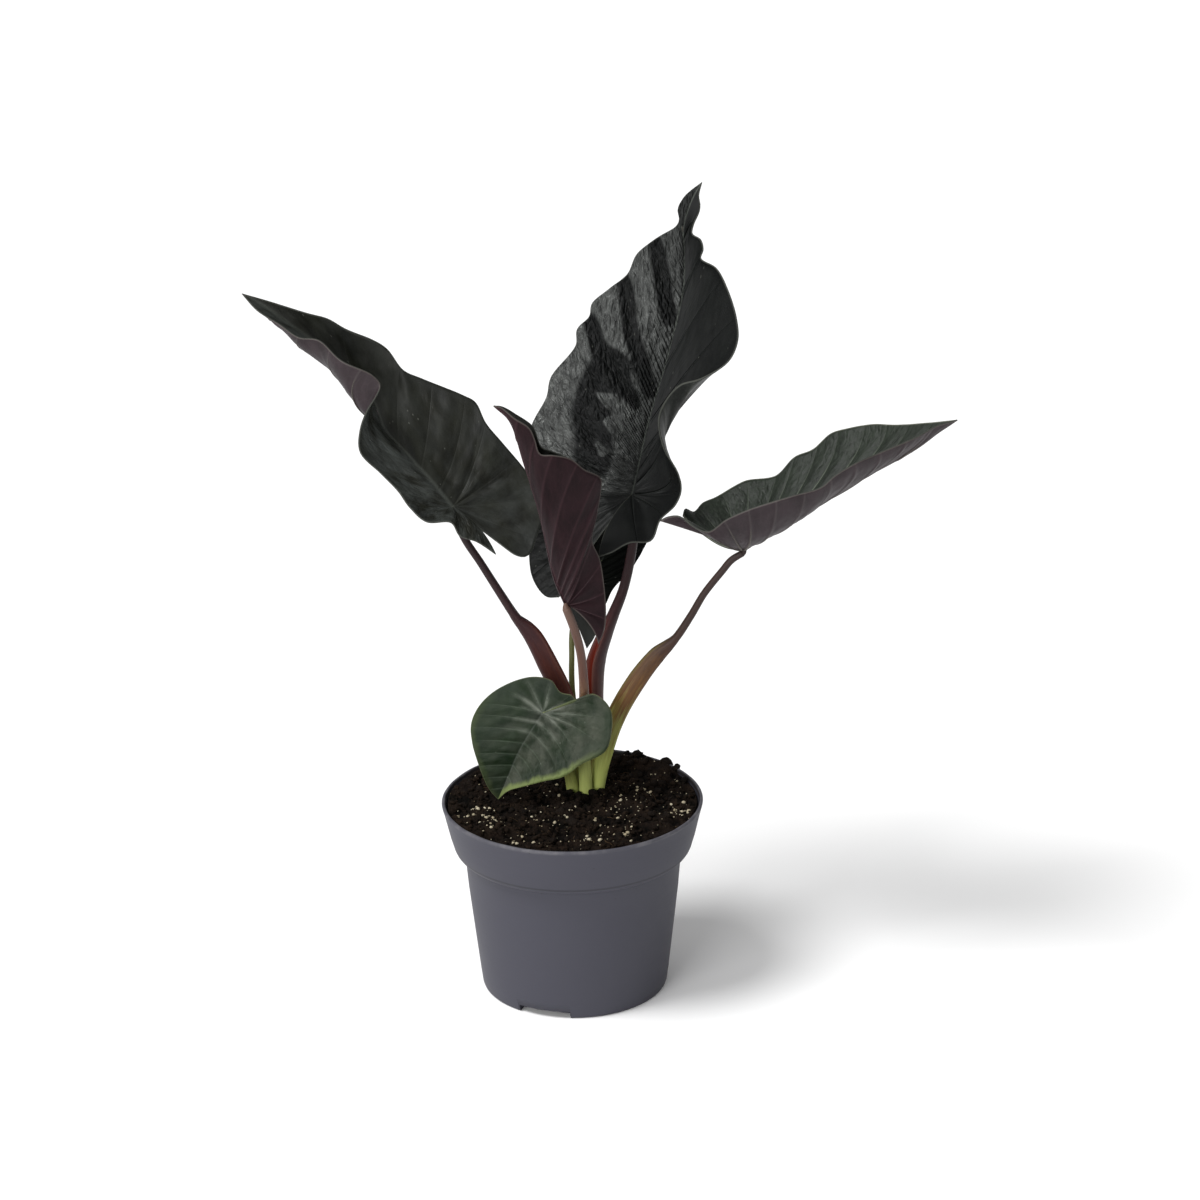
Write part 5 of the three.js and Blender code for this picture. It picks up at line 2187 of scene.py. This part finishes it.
# Blades
TALL = Blade(
    name="tall", attach=(29, 36, 226), tip=(63, 82, 360), facing=(-0.05, -0.95, 0.31), lean=2.3,
    rib=(
        (145.5, -0.2, 0), (136, -3, 0), (124, -4, 0), (112, -1, -1), (97, 2, -2), (68, 2, -3),
        (35, 0, -2), (12, 0, 0), (0, 0, 0),
    ),
    left=BladeHalf(
        quilt=2,
        edge=(
            (145.5, -0.2, 0), (140.8, -4.2, 0), (137, -6.7, 0), (131.6, -8.2, 1), (127.4, -6.6, 0),
            (123.6, -7.2, 0), (116, -15, 0), (107, -22, -1), (98, -24, -2), (89, -31, -3), (81, -37, -3),
            (75, -37, -3), (68, -41, -2), (61, -40, -3), (44, -48, -5), (35, -48, -6), (20, -52, -8),
            (5, -50, -9), (-13, -45, -8), (-33, -41, -6), (-47, -36, -3), (-54, -28, 0), (-53, -22, 2),
        ),
        shoulder=17,
        belly=((0, 0, 0, 0), (0.2, 0, 0, 1), (0.6, -5, 0, 3), (0.8, 0, 0, 2), (1, 0, -1, 0)),
    ),
    right=BladeHalf(
        quilt=0.3,
        edge=(
            (145.5, -0.2, 0), (139.2, -0.2, 1), (135, 1.4, 1), (131.9, 1.6, 1), (125.5, 0.3, 1),
            (121.2, 0.8, 3), (119.6, 5, 5), (115.5, 7.2, 7), (111, 7.2, 9), (108, 15, 14), (100, 22, 20),
            (88, 29, 25), (78, 32, 27), (68, 30, 27), (58, 20, 24), (53, 11, 22), (44, 6, 20),
            (36, 5, 20), (24, 10, 22), (14, 19, 24), (7, 22, 24), (0, 21, 26), (-8, 16, 30),
            (-18, 14, 34), (-21, 5, 36), (-27, -2, 38), (-30, -7, 38),
        ),
        shoulder=18,
        belly=(
            (0, 0, 0, 0), (0.12, 4, 0, -1), (0.25, 11, 2, -4), (0.38, 7.5, 2, -6.2),
            (0.46, 5.7, -1.2, -6.9), (0.54, 0.3, 3.9, -5.4), (0.67, -2.8, 11.1, -4.9), (0.8, 0, 4, -2),
            (1, 0, -3, 0),
        ),
    ),
    face=DARK_FACE, underside=GREY_UNDERSIDE, rim=DARK_RIM, rib_skin=GREY_RIB, slot="leaf_dark",
    rib_radius=1.5, fineness=1.3, crinkle=0.75, crinkle_spacing=1.7, right_calm=0.3, groove=0.15,
    lobe_calm=0.75,
    creases=(
        Crease(((117, -16), (101, -9), (86, -3), (79, 1)), 1.3, 3.2),
        Crease(((96, -27), (92, -24), (73, -17), (61, -10), (44, 0)), 1.4, 3.0),
        Crease(((76, -39), (70, -34), (61, -29), (50, -17), (38, -5)), 1.2, 3.0),
        Crease(((62, -17), (47, -25), (34, -26), (20, -22), (3, -20)), 1.4, 7.5),
        Crease(((42, -27), (38, -17)), -1.3, 3.0),
        Crease(((21, -22), (14, -16)), -1.2, 2.6),
        Crease(((31, -20), (27, -14)), -1.0, 2.2),
    ),
    seed=1.0,
)
LEFT = Blade(
    name="left", attach=(-52, 14, 229), tip=(-144, 46, 321), facing=(0.3, -0.7, 0.65), lean=0.8,
    rib=(
        (134.6, -1.2, 0), (125, 2, 0), (110, 6, -1), (96, 9, -2), (77, 9, -3), (59, 10, -4), (46, 4, -3),
        (33, 3, -2), (15, 2, -1), (0, 0, 0),
    ),
    right=BladeHalf(
        quilt=0.9,
        edge=(
            (134.6, -1.2, 0), (125, 4, 2), (108, 13, 5), (100, 18, 6), (91, 21, 6), (79, 26, 8),
            (72, 28, 8), (60, 27, 7), (51, 31, 7), (33, 39, 9), (27, 41, 9), (17, 38, 8), (6, 37.5, 7),
            (-8, 37, 6), (-22, 34, 7), (-31, 26, 8), (-36.5, 14.5, 9), (-39, 9, 9), (-39, 4.5, 9),
            (-35.5, 1.5, 9), (-29, 0.6, 8),
        ),
        shoulder=11,
        belly=((0, 0, 0, 0), (0.3, 2, 0, -4), (0.6, -4, 0, -4), (0.8, 0, 0, -2), (1, 0, 0.4, -1)),
    ),
    left=BladeHalf(
        quilt=0,
        edge=(
            (134.6, -1.2, 0), (124, -2.5, 2), (113, -1, 5), (102, -1, 10), (95, 3, 14), (81, 2, 18),
            (67, 7, 20), (61, 7, 19), (59, 3, 17), (57, -4, 13), (53, -11, 9), (46, -17, 6), (33, -16, 4),
            (22, -16, 4), (13, -18, 5), (3, -18, 7), (-5, -11, 10), (-12, -12, 9), (-19, -8, 9),
            (-29, -5.5, 9),
        ),
        shoulder=13,
        belly=(
            (0, 0, 0, 0), (0.2, 3, -4, -2), (0.35, 5, -6, -2), (0.5, 3, -2, -2), (0.7, 0, 0, -1),
            (1, 0, 2, 1.5),
        ),
    ),
    face=OLIVE_FACE, underside=DUSKY_UNDERSIDE, rim=DARK_RIM, rib_skin=GREY_RIB, slot="leaf_olive",
    rib_radius=1.4, fineness=1.1, crinkle=0.4, crinkle_spacing=1.8, groove=0.06,
    creases=(
        Crease(((60, 9), (47, 0), (35, -2), (20, -2), (9, -2)), -0.8, 2.4),
        Crease(((66, 32), (56, 25), (47, 20)), -0.9, 2.0),
        Crease(((24, 12), (14, 9), (6, 10)), 0.8, 2.6),
        Crease(((20, 20), (8, 22), (-6, 20)), 0.6, 3.5),
    ),
    seed=21.0,
)
FRONT = Blade(
    name="front", attach=(-1, -8, 190), tip=(-31, -36, 293), facing=(0.25, 0.9, 0.2), lean=2,
    rib=((111, 0, 0), (103, -4.8, 0), (80, -4.9, -1), (50, -3, 0), (14, 1, 0), (0, 0, 0)),
    left=BladeHalf(
        quilt=0.4,
        edge=(
            (111, 0, 0), (110, -3, 0), (104, -8, -1), (98, -13, -1), (92, -14, -2), (86, -15, -4),
            (84, -20, -3), (79, -26, 0), (72, -30, 1), (64, -34, 5), (57, -32, 6), (45, -27, 4),
            (32, -21, 3), (20, -21, 4), (5, -19.5, 1), (-7, -17, -1), (-16, -13.6, -2), (-21.5, -9.6, -4),
        ),
        shoulder=12,
        belly=((0, 0, 0, 0), (0.3, 5, 0, -5), (0.6, -1, 0, -6), (0.8, 0, 0, -2), (1, 0, -3, 0)),
    ),
    right=BladeHalf(
        quilt=0.4,
        edge=(
            (111, 0, 0), (109, -2, 2), (102, -5, 6), (92, -10, 9), (81, -11, 8), (77, -14, 10),
            (70, -18, 14), (59, -21, 19), (46, -20, 21), (31, -16, 20), (16, -11, 17), (2, -9, 13),
            (-13, -8, 9), (-22, -6, 4), (-26.3, -1.6, 0),
        ),
        shoulder=10,
        belly=((0, 0, 0, 0), (0.3, 7, 2, 2), (0.6, 0, 5, 4), (0.8, 0, 3, 2), (1, 0, 0, 1)),
    ),
    face=OLIVE_FACE, underside=PURPLE_UNDERSIDE, rim=DARK_RIM, rib_skin=PURPLE_RIB, slot="leaf_purple",
    rib_radius=0.9, fineness=0.85, crinkle=0.2, seed=41.0,
)
RIGHT = Blade(
    name="right", attach=(78, 6, 210), tip=(172, 2, 270), facing=(-0.45, 0, 0.9), lean=2.6,
    rib=(
        (113.5, 0.6, 0.4), (104, 0, 0), (92, 1, -1), (77, 0, -1), (61, 0, 0), (43, -1, 0), (29, -1, 0),
        (15, -1, 0), (0, 0, 0),
    ),
    right=BladeHalf(
        quilt=0,
        edge=(
            (113.5, 0.6, 0.4), (105, 4, 4), (96, 9, 6), (78, 16, 11), (69, 21, 14), (58, 24, 15),
            (50, 25, 14), (38, 27, 18), (18, 27, 23), (7, 26, 24), (-4, 21, 22), (-9, 18, 27),
            (-12, 15, 33), (-17, 13, 35), (-21, 12, 35),
        ),
        shoulder=8,
        belly=((0, 0, 0, 0), (0.3, 9, 2, -3), (0.6, 0, 3, -5), (0.8, 0, 2, -2), (1, 1.5, 2, 0)),
    ),
    left=BladeHalf(
        quilt=0.9,
        edge=(
            (113.5, 0.6, 0.4), (103, -5, 3.4), (88, -15, 7.5), (77, -23, 11.5), (66, -27, 14.5),
            (58, -30, 15.5), (47, -30, 13.5), (38, -31, 14.5), (26, -31, 11.5), (13, -32, 16.5),
            (6, -31, 17.4), (-2, -28, 18.4), (-8, -25, 20.2), (-13, -21, 20), (-15, -19, 24),
            (-17, -15, 23),
        ),
        shoulder=8,
        belly=((0, 0, 0, 0), (0.3, 9, 0, -3), (0.6, 0, 0, -3), (0.8, 0, 0, -2), (1, 0, 7, -3)),
    ),
    face=GREY_GREEN_FACE, underside=DUSKY_UNDERSIDE, rim=DARK_RIM, rib_skin=GREY_RIB, slot="leaf_olive",
    rib_radius=1.2, fineness=0.9, crinkle=0.3, seed=61.0,
)
LOW = Blade(
    name="low", attach=(-13, 0, 134), tip=(-34, 3, 90), facing=(0.1, -0.95, 0.3), lean=0.6,
    rib=((49, 0, 0), (36, 1, 2), (20, 2, 3), (0, 0, 0)),
    right=BladeHalf(
        quilt=0.25,
        edge=(
            (49, 0, 0), (46, 6, 0), (38, 14, 1), (27, 23, 1), (19, 27, 0), (8, 27, 0), (-3, 22, -1),
            (-13, 12, -2), (-16, 3, -1), (-13, -3, 0), (-14, -8, 0),
        ),
        shoulder=5,
        belly=((0, 0, 0, 0), (0.6, -2, 0, 2), (1, 0, 0, 0)),
    ),
    left=BladeHalf(
        quilt=0.25,
        edge=(
            (49, 0, 0), (41, -2, 4), (35, -7, 6), (28, -14, 7), (22, -21, 7), (13, -26, 6), (2, -33, 6),
            (-9, -31, 4), (-16, -27, 2), (-19, -21, 1), (-19, -16, 1), (-13, -12, 0), (-14, -8, 0),
        ),
        shoulder=5,
        belly=((0, 0, 0, 0), (0.6, -2, 0, -2), (1, 0, 0, 0)),
    ),
    face=GREEN_FACE, underside=GREEN_UNDERSIDE, rim=GREEN_RIM, rib_skin=GREEN_RIB, slot="leaf_green",
    rib_radius=0.9, fineness=0.8, crinkle=0.5, crinkle_spacing=1.4, groove=0.1, seed=81.0,
)
BACK = Blade(
    name="back", attach=(9, 40, 181), tip=(33, 60, 229), facing=(0.1, -0.9, 0.4), lean=1,
    rib=((58, 0, 0), (41, 1, 0), (18, 1, 0), (0, 0, 0)),
    left=BladeHalf(
        quilt=0.5,
        edge=((58, 0, 0), (46, -10, 0), (28, -15, 0), (11, -14, 0), (-4, -8, 1), (-10, -1, 2)),
        shoulder=3,
        belly=((0, 0, 0, 0), (0.6, -2, 0, 1), (1, 0, 0, 0)),
    ),
    right=BladeHalf(
        quilt=0.5,
        edge=(
            (58, 0, 0), (49, 13, 0), (37, 16.6, 0), (29, 16.4, 0), (20, 15.8, 0), (13, 14.6, 1),
            (6.8, 12.2, 1), (2, 10.8, 1), (-3, 10.7, 1), (-8, 10.5, 2),
        ),
        shoulder=4,
        belly=((0, 0, 0, 0), (0.6, -2, 0, 1), (1, 0, 0, 0)),
    ),
    face=SHADED_BACK_FACE, underside=GREEN_UNDERSIDE, rim=DARK_RIM, rib_skin=GREEN_RIB, slot="leaf_dark",
    rib_radius=0.8, fineness=0.6, crinkle=0.25, seed=101.0,
)

# Each blade with its petiole
LEAVES: tuple[tuple[Blade, Petiole], ...] = (
    (
        TALL,
        Petiole(
            "tall", 30,
            (
                (11.8, 25, 112, 3.8, 3.2), (11, 26, 134, 4.9, 3.4), (12, 28, 148, 5.6, 3.4),
                (16, 30, 160, 4.5, 3), (20.3, 32, 170, 3.1, 2.5), (24.5, 34.5, 180, 2.3, 2.3),
                (28.3, 36.5, 196, 2.2, 2.2), (30, 38.6, 210, 2.1, 2.1),
            ),
            sheath_end=0.5, sheath_wing=0.14, skin=PURPLE_SKIN, slot="petiole_purple",
        ),
    ),
    (
        LEFT,
        Petiole(
            "left", 152,
            (
                (-1.2, 21, 112, 4.2, 3), (-3.4, 21, 132, 5, 3), (-10.6, 20.5, 150, 4.9, 2.8),
                (-16.6, 20, 163, 4.4, 2.5), (-20, 19.7, 168, 3.8, 2.3), (-24, 19.3, 172.5, 2.4, 2.1),
                (-26.1, 19, 176, 2.1, 2.1), (-33.4, 18, 189, 1.9, 1.9), (-40, 17, 201, 1.8, 1.8),
                (-47, 16.6, 213, 1.8, 1.8),
            ),
            sheath_end=0.46, sheath_wing=0.16, skin=PURPLE_SKIN, slot="petiole_purple",
        ),
    ),
    (
        FRONT,
        Petiole(
            "front", 272,
            (
                (5.6, 8, 112, 2.9, 2.8), (6, 4, 134, 2.4, 2.4), (5.9, 0, 150, 2.1, 2.1),
                (4.8, -4, 165, 2, 2), (2.1, -8, 178, 2.1, 2),
            ),
            sheath_end=0.4, sheath_wing=0.1, skin=PINK_SKIN, slot="petiole_pink",
        ),
    ),
    (
        RIGHT,
        Petiole(
            "right", 332,
            (
                (14.8, 13.5, 108, 4.1, 3.2), (20.2, 13, 126, 4.7, 3.2), (30.5, 12, 145, 4.6, 3),
                (39.3, 11, 157, 4, 2.6), (44.4, 10.4, 162, 2.9, 2.3), (48.2, 10, 166, 2, 2),
                (55, 9, 177, 1.8, 1.8), (61, 8, 188, 1.7, 1.7), (69, 7, 199, 1.7, 1.7),
                (73.3, 6.8, 204.4, 1.7, 1.7),
            ),
            sheath_end=0.5, sheath_wing=0.16, skin=ORANGE_SKIN, slot="petiole_pink",
        ),
    ),
    (
        LOW,
        Petiole(
            "low", 212, ((-3.5, 11, 108, 2.8, 2.4), (-8, 7, 120, 2, 2)), sheath_end=0.4, sheath_wing=0.08,
            skin=GREEN_SKIN, slot="petiole_green",
        ),
    ),
    (
        BACK,
        Petiole(
            "back", 92,
            (
                (2.5, 26, 112, 2, 2), (0.5, 27.5, 134, 1.4, 1.4), (0.5, 30, 148, 1.3, 1.3),
                (1.5, 34, 164, 1.3, 1.3),
            ),
            sheath_end=0.3, sheath_wing=0.06, skin=GREEN_SKIN, slot="petiole_green",
        ),
    ),
)


def dress_corm() -> None:
    """Gives the corm's own solid its bark."""
    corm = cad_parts["corm"]
    corm.data.materials.clear()
    corm.data.materials.append(CORM_BARK.material())


def main() -> None:
    """Builds the plant, its pot and the studio."""
    logging.basicConfig(level=logging.INFO, format="%(message)s")
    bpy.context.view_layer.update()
    Studio().build()
    Pot().build()
    SoilBed().build()
    dress_corm()
    for blade, petiole in LEAVES:
        petiole.build(blade)
        blade.build()
        blade.build_ribs()


if __name__ == "__main__":
    main()
